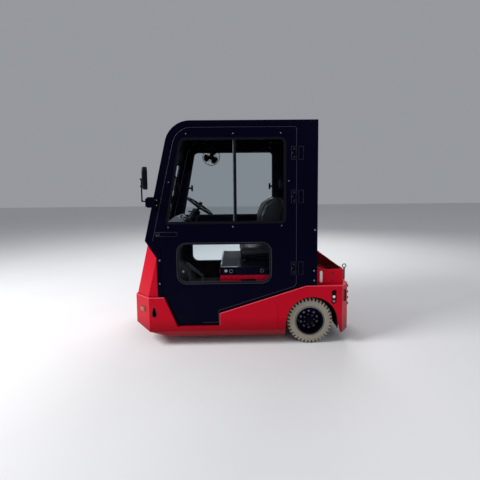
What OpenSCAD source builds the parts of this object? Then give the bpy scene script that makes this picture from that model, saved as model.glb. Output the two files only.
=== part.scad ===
// Electric baggage tug: a three-wheeled tow tractor with a closed two-door cab.
// +X points forward, +Y to the left and +Z up. The origin is on the ground, under the middle of the
// overall length. All sizes are in millimetres.

/* [Body] */
// Length from the bumper's front face to the rear plate
body_len = 2015; // [1990:5:2040]
// Width over the red side plates
body_w = 1040; // [1030:2:1060]
// Thickness of the red side, bumper and rear plates
side_t = 18; // [14:1:20]
// Height of the bumper's top ledge
bumper_top = 461; // [450:1:470]
// Length of the bumper's corner chamfer along the body
front_chamfer_x = 157; // [140:1:170]
// Width of the bumper's corner chamfer across the body
front_chamfer_y = 135; // [120:1:140]
// Length of the rear corner chamfer along the body
rear_chamfer_x = 82; // [70:1:90]
// Width of the rear corner chamfer across the body
rear_chamfer_y = 100; // [90:1:110]
// Height of the rear deck above the ground
deck_z = 552; // [545:1:560]
// Height of the belly above the ground
belly_z = 85; // [75:1:95]
// Height of the lower bend line along the sides
bend_z = 145; // [138:1:155]
// Height of the lower bend line at the front face
bow_z = 190; // [180:1:205]
// How far the belly is set in from the side plates
belly_inset = 35; // [25:1:45]
// Thickness of pressed sheet panels
sheet_t = 6; // [5:1:8]
// Height of the lower edge of the rear corners
rear_skirt_z = 112; // [105:1:125]
// Distance of the seam between sill and rear fender ahead of the wheel arch
seam_ahead = 71; // [60:1:90]
// Distance of the belt line's rear end ahead of the drive axle
belt_ahead = 37; // [30:1:45]
// Height of the belt line's front end, above the step
belt_low_z = 306; // [295:1:315]
// Height of the step
step_z = 189; // [184:1:195]
// Length of the step
step_len = 391; // [380:1:400]
// Depth of the step in from the cab's side
step_depth = 162; // [150:1:170]

/* [Wheels] */
// Distance of the steered wheel behind the bumper's front face
front_overhang = 530; // [520:1:540]
// Distance of the drive axle ahead of the rear plate
rear_overhang = 374; // [368:1:380]
// Outer diameter of a rear tyre
rear_tyre_d = 430; // [420:2:434]
// Width of a rear tyre
rear_tyre_w = 115; // [105:1:120]
// How far the rear tyres lie inside the side plates
tyre_inset = 20; // [19:1:28]
// Outer diameter of the steered tyre
front_tyre_d = 380; // [370:2:384]
// Width of the steered tyre
front_tyre_w = 110; // [100:1:114]
// Radius of a rear rim's flange
rear_rim_r = 136; // [130:1:140]
// Radius of the steered rim's flange
front_rim_r = 118; // [112:1:124]
// Gap between a rear tyre and its arch
arch_gap = 25; // [22:1:27]
// How far the arch's centre lies behind the axle
arch_back = 15; // [10:1:18]

/* [Cab] */
// Height of the roof above the ground
cab_top = 2058; // [2030:2:2090]
// Distance of the cab's rear wall ahead of the rear plate
cab_back = 310; // [300:1:320]
// Distance of the cab's front tip behind the bumper's front face
tip_back = 132; // [125:1:140]
// Height of the cab's front tip
tip_z = 987; // [975:1:1000]
// Lean of the windscreen and nose from the vertical, in degrees
lean = 13; // [12:0.5:14]
// Radius between windscreen and roof
roof_r = 230; // [200:5:250]
// Depth of the cab's side and front frames
frame_t = 30; // [26:1:32]
// Width of the frame above the doors
frame_top = 57; // [50:1:62]
// Width of the windscreen pillars, seen from the side
frame_front = 60; // [54:1:66]
// Width of the frame along the door's lower edges
frame_low = 18; // [14:1:22]
// Width of the rear posts
post_w = 189; // [180:1:200]
// Gap around a door
door_gap = 5; // [4:0.5:7]
// Thickness of a door
door_t = 28; // [24:1:30]

/* [Door windows] */
// Height of the lower edge of the sliding windows
win_low = 1132; // [1120:2:1145]
// Distance of the sliding windows' upper edge below the roof
win_drop = 147; // [140:1:170]
// Width of the door behind the sliding windows
win_rear = 95; // [85:1:110]
// Width of the door ahead of the sliding windows at their lower edge
win_front = 87; // [80:1:95]
// Lean of the sliding windows' front edge, in degrees
win_lean = 10.8; // [9:0.2:12]
// Width of the door behind the lower window
low_win_rear = 228; // [215:1:240]
// Height of the lower window
low_win_h = 388; // [370:2:400]
// Height of the lower window's lower edge above the ground
low_win_z = 579; // [572:1:590]
// Corner radius of the lower window
low_win_r = 95; // [80:1:110]
// Width of the window frames and seals
trim_w = 20; // [16:1:24]
// Thickness of a pane
glass_t = 5; // [4:0.5:6]

/* [Hood and seat] */
// Height of the red battery bay's walls
bay_top = 644; // [636:1:650]
// Height of the battery hood's top
hood_top = 720; // [712:1:730]
// Distance of the battery bay and hood in from the cab's sides
bay_inset = 62; // [54:1:70]
// Distance of the seat behind the hood's front edge
seat_setback = 182; // [170:1:195]
// Length of the seat cushion
seat_len = 450; // [430:2:460]
// Width of the seat
seat_w = 480; // [460:2:500]
// Height of the cushion's top above the hood
cushion_h = 170; // [160:1:180]
// Height of the backrest's top above the hood
back_h = 662; // [640:2:680]
// Outer diameter of the steering wheel
steer_d = 314; // [300:2:330]
// Tilt of the steering wheel, in degrees
steer_tilt = 35; // [32:1:38]
// Height of the steering wheel's middle
steer_z = 1277; // [1260:1:1290]
// Distance of the steering wheel's middle behind the cab's front tip
steer_back = 452; // [440:1:465]
// Height of the dashboard's top
dash_top = 1183; // [1170:1:1190]

/* [Fan and mirrors] */
// Radius of the cab fan's wire guard
guard_r = 95; // [88:1:102]
// Wires in each face of the fan's guard
guard_wires = 8; // [6:1:12]
// Blades of the cab fan
fan_blades = 3; // [3:1:4]
// Pitch of the fan's blades, in degrees
fan_pitch = 22; // [15:1:28]
// Width of a mirror's head
mirror_w = 150; // [140:2:160]
// Height of a mirror's head
mirror_h = 196; // [184:2:210]
// Depth of a mirror's head
mirror_d = 42; // [36:1:48]
// Height of the mirrors' middle
mirror_z = 1545; // [1520:5:1560]

/* [Rear] */
// How far the tow coupler stands out behind the rear plate
hitch_reach = 165; // [155:1:175]
// Diameter of the tow pin
tow_pin_d = 25; // [22:1:28]
// Height of the gap between two coupler jaws
jaw_gap = 51; // [46:1:54]
// Thickness of a coupler jaw
jaw_t = 14; // [12:1:16]
// Distance of the load tray's sides in from the side plates
tray_inset = 60; // [52:1:70]
// Height of the tray's rear wall above the deck
tray_h = 138; // [130:1:150]
// Radius of the corners of pressed openings
corner_r = 60; // [50:1:70]

/* [Hidden] */

red = "#c8102e";
black = "#14141c";
steel = "#8a8d90";
grey = "#4a4d52";

// Small gap that keeps a piece just clear of its seat, running clearance round a pin, and the
// overlap that makes a cut go through
seat_gap = 0.3;
run_gap = 0.1;
cut = 1;

// Stations along the body
x_front = (body_len + hitch_reach) / 2;
x_rear = x_front - body_len;
axle_x = x_rear + rear_overhang;
steer_x = x_front - front_overhang;
tip_x = x_front - tip_back;
cab_rear_x = x_rear + cab_back;
half_w = body_w / 2;
cab_half = half_w - side_t;
frame_in = cab_half - frame_t;
rear_r = rear_tyre_d / 2;
front_r = front_tyre_d / 2;
rear_track = body_w - 2 * tyre_inset - rear_tyre_w;
arch_r = rear_r + arch_gap;
arch_x = axle_x - arch_back;
arch_z = rear_r - 6;
arch_front_x = arch_x + arch_r + 7;

// Outline of the cab's lower front and of the step cut in the side plates
notch_x = tip_x - 100;
notch_z = 829;
strip_x = tip_x - 104;
sill_front_x = tip_x - 164;
step_front_x = tip_x - 281;
step_rear_x = step_front_x - step_len;
belt_end_x = axle_x + belt_ahead;
belt_slope = (deck_z - belt_low_z) / (step_rear_x - belt_end_x);
seam_x = arch_front_x + seam_ahead;

// Front plane of windscreen and nose, and the belt line, as functions of height and station
function front_x(z) = tip_x - tan(lean) * (z - tip_z);
function belt_z(x) = belt_low_z + (step_rear_x - x) * belt_slope;
frame_t_x = frame_t / cos(lean);

// Levels inside
belly_in_z = belly_z + 8;
crown_low = front_tyre_d + 8;
mount_z = crown_low + 20;
mount_t = 10;
floor_z = mount_z + mount_t + sheet_t;
well_y = cab_half - step_depth;
bay_front_x = step_rear_x - 4;
bay_rear_x = arch_front_x + 11;
bay_half = cab_half - bay_inset;
bay_t = 8;

// Door hinges
hinge_y = cab_half + 8;
door_rear_x = cab_rear_x + post_w;
hinge_x = door_rear_x - door_gap / 2;
hinge_zs = [deck_z + 167, win_low + 244, cab_top - 294];
hinge_h = 118;
knuckle_r = 7;

// Corner helpers: unit vector, turn at a corner, tangent length and centre of a corner's arc
function unit(v) = v / norm(v);
function cross2(a, b) = a[0] * b[1] - a[1] * b[0];
function half_angle(p, v, q) = acos(min(1, max(-1, unit(p - v) * unit(q - v)))) / 2;
function tangent_len(p, v, q, r) = r / tan(half_angle(p, v, q));
function arc_centre(p, v, q, r) = v + unit(unit(p - v) + unit(q - v)) * r / sin(half_angle(p, v, q));
function prior(pts, i) = pts[(i + len(pts) - 1) % len(pts)];
function next(pts, i) = pts[(i + 1) % len(pts)];

// Moves each edge of a clockwise outline inwards by its own distance and returns the new corners
function edge_normal(pts, i) = let (d = unit(next(pts, i) - pts[i])) [d[1], -d[0]];
function inset(pts, m) = [for (i = [0 : len(pts) - 1])
    let (h = (i + len(pts) - 1) % len(pts),
         p = pts[h] + edge_normal(pts, h) * m[h], u = next(pts, h) - pts[h],
         q = pts[i] + edge_normal(pts, i) * m[i], w = next(pts, i) - pts[i])
    p + u * cross2(q - p, w) / cross2(u, w)];

// A clockwise outline whose corners are rounded by true arcs, one radius for each corner
module rounded_outline(pts, radii) {
    difference() {
        union() {
            polygon(pts);
            for (i = [0 : len(pts) - 1])
                if (radii[i] > 0 && cross2(pts[i] - prior(pts, i), next(pts, i) - pts[i]) > 0)
                    corner_piece(prior(pts, i), pts[i], next(pts, i), radii[i]);
        }
        for (i = [0 : len(pts) - 1])
            if (radii[i] > 0 && cross2(pts[i] - prior(pts, i), next(pts, i) - pts[i]) < 0)
                corner_piece(prior(pts, i), pts[i], next(pts, i), radii[i]);
    }
}

// The sliver between a corner and its arc, reaching a little past the corner for a clean joint or cut
module corner_piece(p, v, q, r) {
    t = tangent_len(p, v, q, r);
    c = arc_centre(p, v, q, r);
    a = v + unit(p - v) * t;
    b = v + unit(q - v) * t;
    out = unit(v - c);
    difference() {
        polygon([a, a + out, v + out * 2, b + out, b]);
        translate(c) circle(r = r, $fn = 96);
    }
}

// Rectangle with round corners, from its low corner
module rounded_rect(w, h, r) {
    rounded_outline([[0, 0], [0, h], [w, h], [w, 0]], [r, r, r, r]);
}

// Extrudes a drawing made in X and Z across the body, between two Y values
module across(y0, y1) {
    translate([0, max(y0, y1), 0]) rotate([90, 0, 0]) linear_extrude(height = abs(y1 - y0)) children();
}

// Extrudes a drawing made in Y and Z along the body, between two X values
module along(x0, x1) {
    translate([min(x0, x1), 0, 0]) rotate([90, 0, 90]) linear_extrude(height = abs(x1 - x0)) children();
}

// A box between two corners
module block(a, b) {
    translate(a) cube(b - a);
}

// Repeats its children on the left and on the right
module both_sides() {
    children();
    mirror([0, 1, 0]) children();
}

module on_side(side) {
    if (side > 0) children();
    else mirror([0, 1, 0]) children();
}

module rod(a, b, r) {
    d = b - a;
    translate(a) rotate([0, acos(d[2] / norm(d)), atan2(d[1], d[0])]) cylinder(r = r, h = norm(d), $fn = 32);
}

// Body outlines in plan and from the side
plan = [[x_rear, half_w - rear_chamfer_y], [x_rear + rear_chamfer_x, half_w],
        [x_front - front_chamfer_x, half_w], [x_front, half_w - front_chamfer_y],
        [x_front, -half_w + front_chamfer_y], [x_front - front_chamfer_x, -half_w],
        [x_rear + rear_chamfer_x, -half_w], [x_rear, -half_w + rear_chamfer_y]];
plan_margins = [for (p = plan) side_t];
cab_outline = [[cab_rear_x, cab_top], [front_x(cab_top), cab_top], [tip_x, tip_z],
               [notch_x, notch_z], [strip_x, bumper_top], [sill_front_x, bumper_top],
               [step_front_x, step_z], [step_rear_x, step_z], [step_rear_x, belt_low_z],
               [belt_end_x, deck_z], [cab_rear_x, deck_z]];
cab_radii = [6, roof_r, 0, 0, 0, 0, 0, 0, 0, 0, 0];
door_base = [for (i = [0 : 9]) i < 9 ? cab_outline[i] : [cab_rear_x, belt_z(cab_rear_x)]];
door_margins = [frame_top, frame_front, 72, 42, frame_low, frame_low, frame_low, frame_low,
                frame_low, post_w];
door_radii = [20, roof_r - frame_top, 8, 12, 8, 8, 12, 8, 8, 40];
door_outline = inset(door_base, door_margins);
opening_outline = inset(door_base, [for (m = door_margins) m - door_gap]);

module plan_ring(x0, x1) {
    intersection() {
        difference() {
            polygon(plan);
            polygon(inset(plan, plan_margins));
        }
        translate([x0, -half_w]) square([x1 - x0, body_w]);
    }
}

// Front shell: bumper with chamfered corners and the sills with the step cut out
module lower_shell() {
    profile = [[seam_x, bend_z], [seam_x, belt_z(seam_x)], [step_rear_x, belt_low_z],
               [step_rear_x, step_z], [step_front_x, step_z], [sill_front_x, bumper_top],
               [x_front + cut, bumper_top],
                [x_front + cut, bow_z + cut * (bow_z - bend_z) / front_chamfer_x],
               [x_front - front_chamfer_x, bend_z]];
    color(red) difference() {
        intersection() {
            linear_extrude(height = bumper_top + 100) plan_ring(seam_x, x_front + cut);
            across(-half_w, half_w) polygon(profile);
        }
        both_sides() {
            lashing_hole();
            translate([x_front - side_t - cut, headlamp_y, headlamp_z])
                rotate([0, 90, 0]) cylinder(r = headlamp_r, h = side_t + 2 * cut, $fn = 64);
        }
    }
}

headlamp_y = 265;
headlamp_z = 330;
headlamp_r = 52;

// Teardrop hole in the bumper's side for a lashing hook
module lashing_hole() {
    x = x_front - front_chamfer_x - 46;
    low = 302;
    high = 362;
    across(half_w - side_t - cut, half_w + cut) {
        translate([x, low]) circle(r = 21, $fn = 48);
        translate([x, high]) circle(r = 9, $fn = 32);
        polygon([[x - 20.6, low + 4], [x - 8.8, high + 2], [x + 8.8, high + 2], [x + 20.6, low + 4]]);
    }
}

// Belly pan: the bevelled underside with its sloping bow and the opening for the steered wheel
module belly_pan() {
    bow_x = x_front - front_chamfer_x - 158;
    t = 8;
    color(red) difference() {
        intersection() {
            difference() {
                belly_hull(0, belly_z, bow_x);
                belly_hull(t, belly_in_z, bow_x);
            }
            across(-half_w, half_w)
                polygon([[arch_front_x, 0], [arch_front_x, bend_z], [x_front - front_chamfer_x, bend_z],
                         [x_front, bow_z], [x_front + 100, bow_z], [x_front + 100, 0]]);
        }
        translate([steer_x, 0, 0]) cylinder(r = front_r + 45, h = belly_z + 150, $fn = 96);
    }
}

module belly_hull(t, z_low, bow_x) {
    lift = t > 0 ? 30 : 0;
    spread = lift * belly_inset / (bend_z - belly_z);
    in_y = half_w - belly_inset - t * 1.1;
    hull() {
        translate([arch_front_x + t, -in_y, z_low]) cube([bow_x - arch_front_x - 2 * t, 2 * in_y, 0.01]);
        for (s = [-1, 1]) {
            translate([arch_front_x + t, s * (half_w - t * 1.3 + spread) - 0.01, bend_z + lift])
                cube([bow_x + 158 - arch_front_x - 1.5 * t, 0.02, 0.01]);
            translate([x_front - t * 2, s * (half_w - front_chamfer_y - t), bow_z + lift])
                cube([0.01, 0.01, 0.01]);
        }
    }
}

// Rear fenders with the wheel arches and the switch recess
module rear_fenders() {
    skirt_x = x_rear + rear_chamfer_x;
    profile = [[arch_front_x, bend_z], [seam_x, bend_z], [seam_x, belt_z(seam_x)], [belt_end_x, deck_z],
               [skirt_x, deck_z], [skirt_x, rear_skirt_z], [skirt_x + 15, rear_skirt_z + 6],
               [arch_x - arch_r, arch_z]];
    color(red) both_sides() difference() {
        across(half_w - side_t, half_w) difference() {
            polygon([for (i = [len(profile) - 1 : -1 : 0]) profile[i]]);
            translate([arch_x, arch_z]) circle(r = arch_r, $fn = 128);
            translate([arch_x, bend_z - cut]) square([arch_front_x - arch_x, arch_z - bend_z + cut]);
        }
        across(half_w - side_t - cut, half_w + cut) switch_recess();
    }
}

switch_x = x_rear + 156;
switch_z = 448;
switch_pitch = 42;

module switch_recess() {
    for (k = [-1 : 1]) translate([switch_x, switch_z + k * switch_pitch])
        circle(r = 26 - 2 * abs(k), $fn = 48);
    translate([switch_x - 18, switch_z - switch_pitch]) square([36, 2 * switch_pitch]);
}

module rear_plate() {
    color(red) difference() {
        translate([0, 0, rear_skirt_z]) linear_extrude(height = deck_z - rear_skirt_z)
            plan_ring(x_rear - cut, x_rear + rear_chamfer_x);
        both_sides() tail_slot(0);
    }
}

// Place on the rear chamfer, looking out of its face
module on_rear_chamfer(z) {
    turn = atan2(rear_chamfer_x, rear_chamfer_y);
    translate([x_rear + rear_chamfer_x * 0.42, half_w - rear_chamfer_y * 0.58, z])
        rotate([0, 0, 180 - turn]) children();
}

module tail_slot(gap) {
    w = 34 - 2 * gap;
    h = 104 - 2 * gap;
    on_rear_chamfer(448) along(-side_t - cut, cut)
        translate([-w / 2, -h / 2]) rounded_rect(w, h, w / 2 - 1);
}

module tail_lamps() {
    color("#7a0a12") both_sides() intersection() {
        tail_slot(seat_gap);
        on_rear_chamfer(448) block([-side_t, -60, -60], [-5, 60, 60]);
    }
}

// Long inner members: tall webs beside the steered wheel and rails over the drive axle
module frame_rails() {
    web_front_x = x_front - front_chamfer_x - 180;
    color(red) both_sides() {
        block([bay_front_x, web_y, belly_in_z], [web_front_x, web_y + web_t, mount_z]);
        block([x_rear + side_t, web_y, rail_low], [bay_rear_x, web_y + web_t, rail_low + 100]);
    }
}

rail_low = rear_r + 85;
web_t = 14;
web_y = well_y - 26 - web_t;

module wheel_wells() {
    wall_t = 4;
    well_in = well_y + 6;
    outer = arch_r + sheet_t;
    color(grey) both_sides() {
        across(well_in, well_in + wall_t) difference() {
            union() {
                intersection() {
                    translate([arch_x, arch_z]) circle(r = outer, $fn = 128);
                    translate([arch_x - outer, arch_z]) square([2 * outer, outer]);
                }
                translate([arch_x - outer, bend_z]) square([2 * outer, arch_z - bend_z]);
            }
            translate([axle_x, rear_r]) circle(r = 80, $fn = 64);
        }
        across(well_in + wall_t, half_w - side_t) difference() {
            union() {
                intersection() {
                    translate([arch_x, arch_z]) circle(r = outer, $fn = 128);
                    translate([arch_x - outer, arch_z]) square([2 * outer, outer]);
                }
                translate([arch_x - outer, bend_z]) square([2 * outer, arch_z - bend_z]);
            }
            translate([arch_x, arch_z]) circle(r = arch_r, $fn = 128);
            translate([arch_x - arch_r, bend_z - cut]) square([2 * arch_r, arch_z - bend_z + cut]);
        }
    }
}

// Cab floor with a step well on each side
module floor_pan() {
    well_front_x = step_front_x + 15;
    floor_front_x = tip_x - 160;
    tread_x0 = bay_front_x;
    color(grey) {
        block([bay_front_x, -well_y, floor_z - sheet_t], [floor_front_x, well_y, floor_z]);
        both_sides() {
            block([well_front_x, well_y, floor_z - sheet_t], [floor_front_x, frame_in, floor_z]);
            block([tread_x0, well_y - sheet_t, step_z], [well_front_x, well_y, floor_z]);
            block([tread_x0, well_y - sheet_t, step_z], [well_front_x, frame_in, step_z + sheet_t]);
            block([well_front_x - sheet_t, well_y - sheet_t, step_z], [well_front_x, frame_in, floor_z]);
        }
    }
}

toe_x = step_front_x - 70;
toe_top_x = toe_x + 165;
toe_top_z = 640;

// Toe board and the panel that closes the footwell towards the nose
module bulkhead() {
    t = sheet_t;
    color(grey) across(-frame_in, frame_in)
        polygon([[toe_x, floor_z], [toe_top_x, toe_top_z], [toe_top_x, dash_low_z],
                 [toe_top_x + t, dash_low_z], [toe_top_x + t, toe_top_z - t], [toe_x + 2 * t, floor_z]]);
}

dash_low_z = 902;

function toe_z(x) = floor_z + (x - toe_x) * (toe_top_z - floor_z) / (toe_top_x - toe_x);

// Nose cowl: chamfered sheet cowl that leans back in the windscreen's plane
module nose_cowl() {
    color(red) difference() {
        nose_hull(0);
        nose_hull(sheet_t);
        both_sides() across(frame_in, half_w)
            polygon(cab_outline);
        block([0, -half_w, 0], [sill_front_x + 30, half_w, tip_z + 50]);
    }
}

module nose_hull(t) {
    ledge = 12;
    side_y = cab_half - 8;
    z0 = bumper_top - (t > 0 ? cut : 0);
    z1 = tip_z + (t > 0 ? cut : 0);
    hull() for (z = [z0, z1])
        translate([0, 0, z - (z == z1 ? 0.01 : 0)]) linear_extrude(height = 0.01)
            let (fx = front_x(z) - (front_x(bumper_top) - x_front) - ledge - t, sy = side_y - t)
            polygon([[sill_front_x, sy], [fx - 134 + 0.1 * t, sy], [fx, sy - 119 + 0.5 * t],
                     [fx, -sy + 119 - 0.5 * t], [fx - 134 + 0.1 * t, -sy], [sill_front_x, -sy]]);
}

// Red walls round the battery, which carry the hood
module battery_bay() {
    side = [[bay_front_x, belly_in_z], [bay_rear_x, belly_in_z], [bay_rear_x, deck_z - 70],
            [cab_rear_x + sheet_t, deck_z - 70], [cab_rear_x + sheet_t, bay_top], [bay_front_x, bay_top]];
    slot_x = bay_front_x - 385;
    color(red) {
        both_sides() difference() {
            across(bay_half - bay_t, bay_half) polygon(side);
            across(bay_half - bay_t - cut, bay_half + cut)
                translate([slot_x, 545]) rounded_rect(146, 46, 20);
        }
        for (x = [bay_front_x - bay_t, bay_rear_x])
            block([x, -bay_half + bay_t, belly_in_z], [x + bay_t, bay_half - bay_t, bay_top]);
        for (y = hood_hinge_ys) {
            for (s = [-1, 1]) across(y + s * 20.5, y + s * 30) {
                translate([hood_hinge_x, hood_hinge_z]) circle(r = 7, $fn = 32);
                translate([bay_front_x - cut, bay_top - 22]) square([16, 27]);
            }
            translate([hood_hinge_x, y, hood_hinge_z]) rotate([90, 0, 0])
                cylinder(r = 3, h = 60, center = true, $fn = 24);
        }
    }
}

// Battery: a steel case with a sunken top, and in it the rows of cells with their caps
module battery() {
    low = [bay_rear_x + bay_t + 6, -bay_half + 40, belly_in_z];
    high = [bay_front_x - bay_t - 6, bay_half - 40, bay_top - 40];
    case_t = 6;
    sunk = 34;
    cells = [4, 6];
    cell = [(high[0] - low[0] - 2 * case_t) / cells[0], (high[1] - low[1] - 2 * case_t) / cells[1]];
    color(grey) {
        difference() {
            block(low, high);
            block([low[0] + case_t, low[1] + case_t, high[2] - sunk], high + [-case_t, -case_t, cut]);
        }
        for (i = [0 : cells[0] - 1], j = [0 : cells[1] - 1])
            translate([low[0] + case_t + i * cell[0], low[1] + case_t + j * cell[1], high[2] - sunk - cut]) {
                block([3, 3, 0], [cell[0] - 3, cell[1] - 3, sunk - 12]);
                translate([cell[0] / 2, cell[1] / 2, sunk - 12 - cut]) cylinder(r = 12, h = 8, $fn = 24);
            }
    }
}

// Deck behind the cab and the open tray that stands on it
module load_tray() {
    deck_t = 8;
    wall_t = sheet_t;
    tray_rear_x = x_rear + 55;
    tray_half = half_w - tray_inset;
    front_h = tray_h + 30;
    color(red) {
        translate([0, 0, deck_z - deck_t]) linear_extrude(height = deck_t) intersection() {
            polygon(inset(plan, plan_margins));
            translate([x_rear, -half_w]) square([cab_rear_x - x_rear, body_w]);
        }
        both_sides() {
            block([cab_rear_x - cut, tray_half, deck_z - deck_t], [belt_end_x, cab_half, deck_z]);
            block([cab_rear_x - cut, bay_half, deck_z - deck_t], [belt_end_x, tray_half + cut, deck_z - 2]);
            across(tray_half - wall_t, tray_half) rounded_outline(
                [[tray_rear_x, deck_z - cut], [tray_rear_x, deck_z + tray_h],
                 [cab_rear_x - 90, deck_z + tray_h], [cab_rear_x, deck_z + front_h],
                 [cab_rear_x, deck_z - cut]], [0, 8, 120, 0, 0]);
        }
        block([tray_rear_x, -tray_half, deck_z - cut], [tray_rear_x + wall_t, tray_half, deck_z + tray_h]);
    }
}

jaw_pitch = jaw_gap + jaw_t;
jaw_low = 190;
jaw_half = 45;
tow_x = x_front - body_len - hitch_reach + jaw_half;

// Tow coupler with three jaw gaps, one above the other
module tow_coupler() {
    base_t = 16;
    color(black) difference() {
        union() {
            block([x_rear - base_t, -80, jaw_low - 30], [x_rear, 80, jaw_low + 3 * jaw_pitch + jaw_t + 30]);
            for (k = [0 : 3]) translate([0, 0, jaw_low + k * jaw_pitch]) linear_extrude(height = jaw_t) {
                translate([tow_x, 0]) circle(r = jaw_half, $fn = 64);
                translate([tow_x, -jaw_half]) square([x_rear - base_t - tow_x, 2 * jaw_half]);
            }
        }
        translate([tow_x, 0, jaw_low - cut])
            cylinder(r = tow_pin_d / 2 + seat_gap, h = 3 * jaw_pitch + jaw_t + 2 * cut, $fn = 48);
    }
}

pin_ring_z = deck_z + 58;

module tow_pin() {
    top = jaw_low + 3 * jaw_pitch + jaw_t;
    color(steel) translate([tow_x, 0, 0]) {
        translate([0, 0, jaw_low - 18]) cylinder(d = tow_pin_d, h = top - jaw_low + 18, $fn = 48);
        translate([0, 0, top]) cylinder(d = tow_pin_d + 16, h = 12, $fn = 48);
        translate([0, 0, top + 12]) cylinder(r = 5, h = pin_ring_z - 17 - top - 12, $fn = 24);
        translate([0, 0, pin_ring_z]) rotate([90, 0, 0]) rotate_extrude($fn = 48)
            translate([19, 0]) circle(r = 4.5, $fn = 24);
    }
}

spindle_r = 30;
hub_bore_r = spindle_r + run_gap;

// Drive axle: tube, differential, motor and the saddles under the rails
module drive_axle() {
    tube_r = 45;
    tube_end = rear_track / 2 - 48;
    housing_r = 100;
    housing_w = 230;
    joint_t = 18;
    motor_r = 88;
    motor_len = 230;
    fin_pitch = 26;
    color(grey) {
        translate([axle_x, 0, rear_r]) rotate([90, 0, 0]) {
            cylinder(r = tube_r, h = 2 * tube_end, center = true, $fn = 64);
            cylinder(r = spindle_r, h = 2 * (rear_track / 2), center = true, $fn = 64);
            rotate_extrude($fn = 64) polygon([
                [0, -housing_w / 2], [tube_r + 8, -housing_w / 2], [housing_r, -housing_w / 2 + 45],
                [housing_r, -joint_t / 2], [housing_r + 10, -joint_t / 2], [housing_r + 10, joint_t / 2],
                [housing_r, joint_t / 2], [housing_r, housing_w / 2 - 45], [tube_r + 8, housing_w / 2],
                [0, housing_w / 2]]);
        }
        both_sides() difference() {
            block([axle_x - 38, web_y - 12, rear_r], [axle_x + 38, web_y + web_t + 12, rail_low]);
            translate([axle_x, web_y + web_t + 36, rear_r]) rotate([90, 0, 0])
                cylinder(r = tube_r - 1, h = 80, $fn = 64);
        }
        translate([axle_x - motor_len - 80, 0, rear_r + 25]) rotate([0, 90, 0]) {
            cylinder(r = motor_r, h = motor_len, $fn = 64);
            for (k = [1 : 5]) translate([0, 0, k * fin_pitch]) cylinder(r = motor_r + 8, h = 7, $fn = 64);
        }
    }
}

// A wheel's rim about the Y axis, outer side towards +Y: flange, barrel, disc and hub
module rim(r, w, hub_in, bore) {
    barrel = r - 18;
    rotate([-90, 0, 0]) rotate_extrude($fn = 96) polygon([
        [bore, hub_in], [58, hub_in], [58, -2], [barrel - 7, -2], [barrel - 7, -w / 2 + 5], [r, -w / 2 + 5],
        [r, -w / 2 + 11], [barrel, -w / 2 + 16], [barrel, w / 2 - 16], [r, w / 2 - 11],
        [r, w / 2 - 5], [barrel - 7, w / 2 - 5], [barrel - 7, 8], [60, 8], [52, 16], [bore, 16]]);
}

// A solid tyre on that rim
module tyre(r, w, rim_r) {
    barrel = rim_r - 18;
    rotate([-90, 0, 0]) rotate_extrude($fn = 96) polygon([
        [barrel, -w / 2 + 16], [rim_r, -w / 2 + 11], [rim_r + 6, -w / 2], [r - 30, -w / 2],
        [r - 8, -w / 2 + 4], [r, -w / 2 + 14], [r, w / 2 - 14], [r - 8, w / 2 - 4],
        [r - 30, w / 2], [rim_r + 6, w / 2], [rim_r, w / 2 - 11], [barrel, w / 2 - 16]]);
}

module rear_wheel_place(side) {
    on_side(side) translate([axle_x, rear_track / 2, rear_r]) children();
}

module rear_tyre(side) {
    color("#b9b2a0") rear_wheel_place(side) tyre(rear_r, rear_tyre_w, rear_rim_r);
}

module rear_rim(side) {
    color(black) rear_wheel_place(side) {
        rim(rear_rim_r, rear_tyre_w, -40, hub_bore_r);
        translate([0, 16, 0]) rotate([-90, 0, 0]) cylinder(r = 42, h = 12, $fn = 48);
        translate([0, 0.5, 0]) rotate([-90, 0, 0]) cylinder(r = hub_bore_r, h = 16, $fn = 48);
    }
}

steer_pin_r = 25;
fork_axle_r = 15;
fork_in = front_tyre_w / 2 + 17;
fork_t = 12;

module front_tyre() {
    color("#b9b2a0") translate([steer_x, 0, front_r]) tyre(front_r, front_tyre_w, front_rim_r);
}

module front_rim() {
    color(black) translate([steer_x, 0, front_r]) {
        rim(front_rim_r, front_tyre_w, -fork_in + seat_gap, fork_axle_r + run_gap);
        rotate([-90, 0, 0]) difference() {
            cylinder(r = 50, h = fork_in - seat_gap, $fn = 48);
            translate([0, 0, -cut]) cylinder(r = fork_axle_r + run_gap, h = fork_in + cut, $fn = 48);
        }
    }
}

// Steered fork: crown with its pivot pin, two legs and the wheel's axle
module steer_fork() {
    crown_top = mount_z - seat_gap;
    color(black) {
        translate([steer_x, 0, crown_low]) cylinder(r = 88, h = crown_top - crown_low, $fn = 64);
        translate([steer_x, 0, crown_low])
            cylinder(r = steer_pin_r, h = mount_z + mount_t - cut - crown_low, $fn = 48);
        both_sides() across(fork_in, fork_in + fork_t) {
            translate([steer_x, front_r]) circle(r = 34, $fn = 48);
            polygon([[steer_x - 34, front_r], [steer_x - 48, crown_low + 6], [steer_x + 48, crown_low + 6],
                     [steer_x + 34, front_r]]);
        }
        translate([steer_x, 0, front_r]) rotate([90, 0, 0])
            cylinder(r = fork_axle_r, h = 2 * (fork_in + fork_t), center = true, $fn = 48);
    }
}

module steer_mount() {
    color(grey) difference() {
        block([steer_x - 160, -web_y - web_t, mount_z], [steer_x + 160, web_y + web_t, mount_z + mount_t]);
        translate([steer_x, 0, mount_z - cut])
            cylinder(r = steer_pin_r + run_gap, h = mount_t + 2 * cut, $fn = 48);
    }
}

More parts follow.
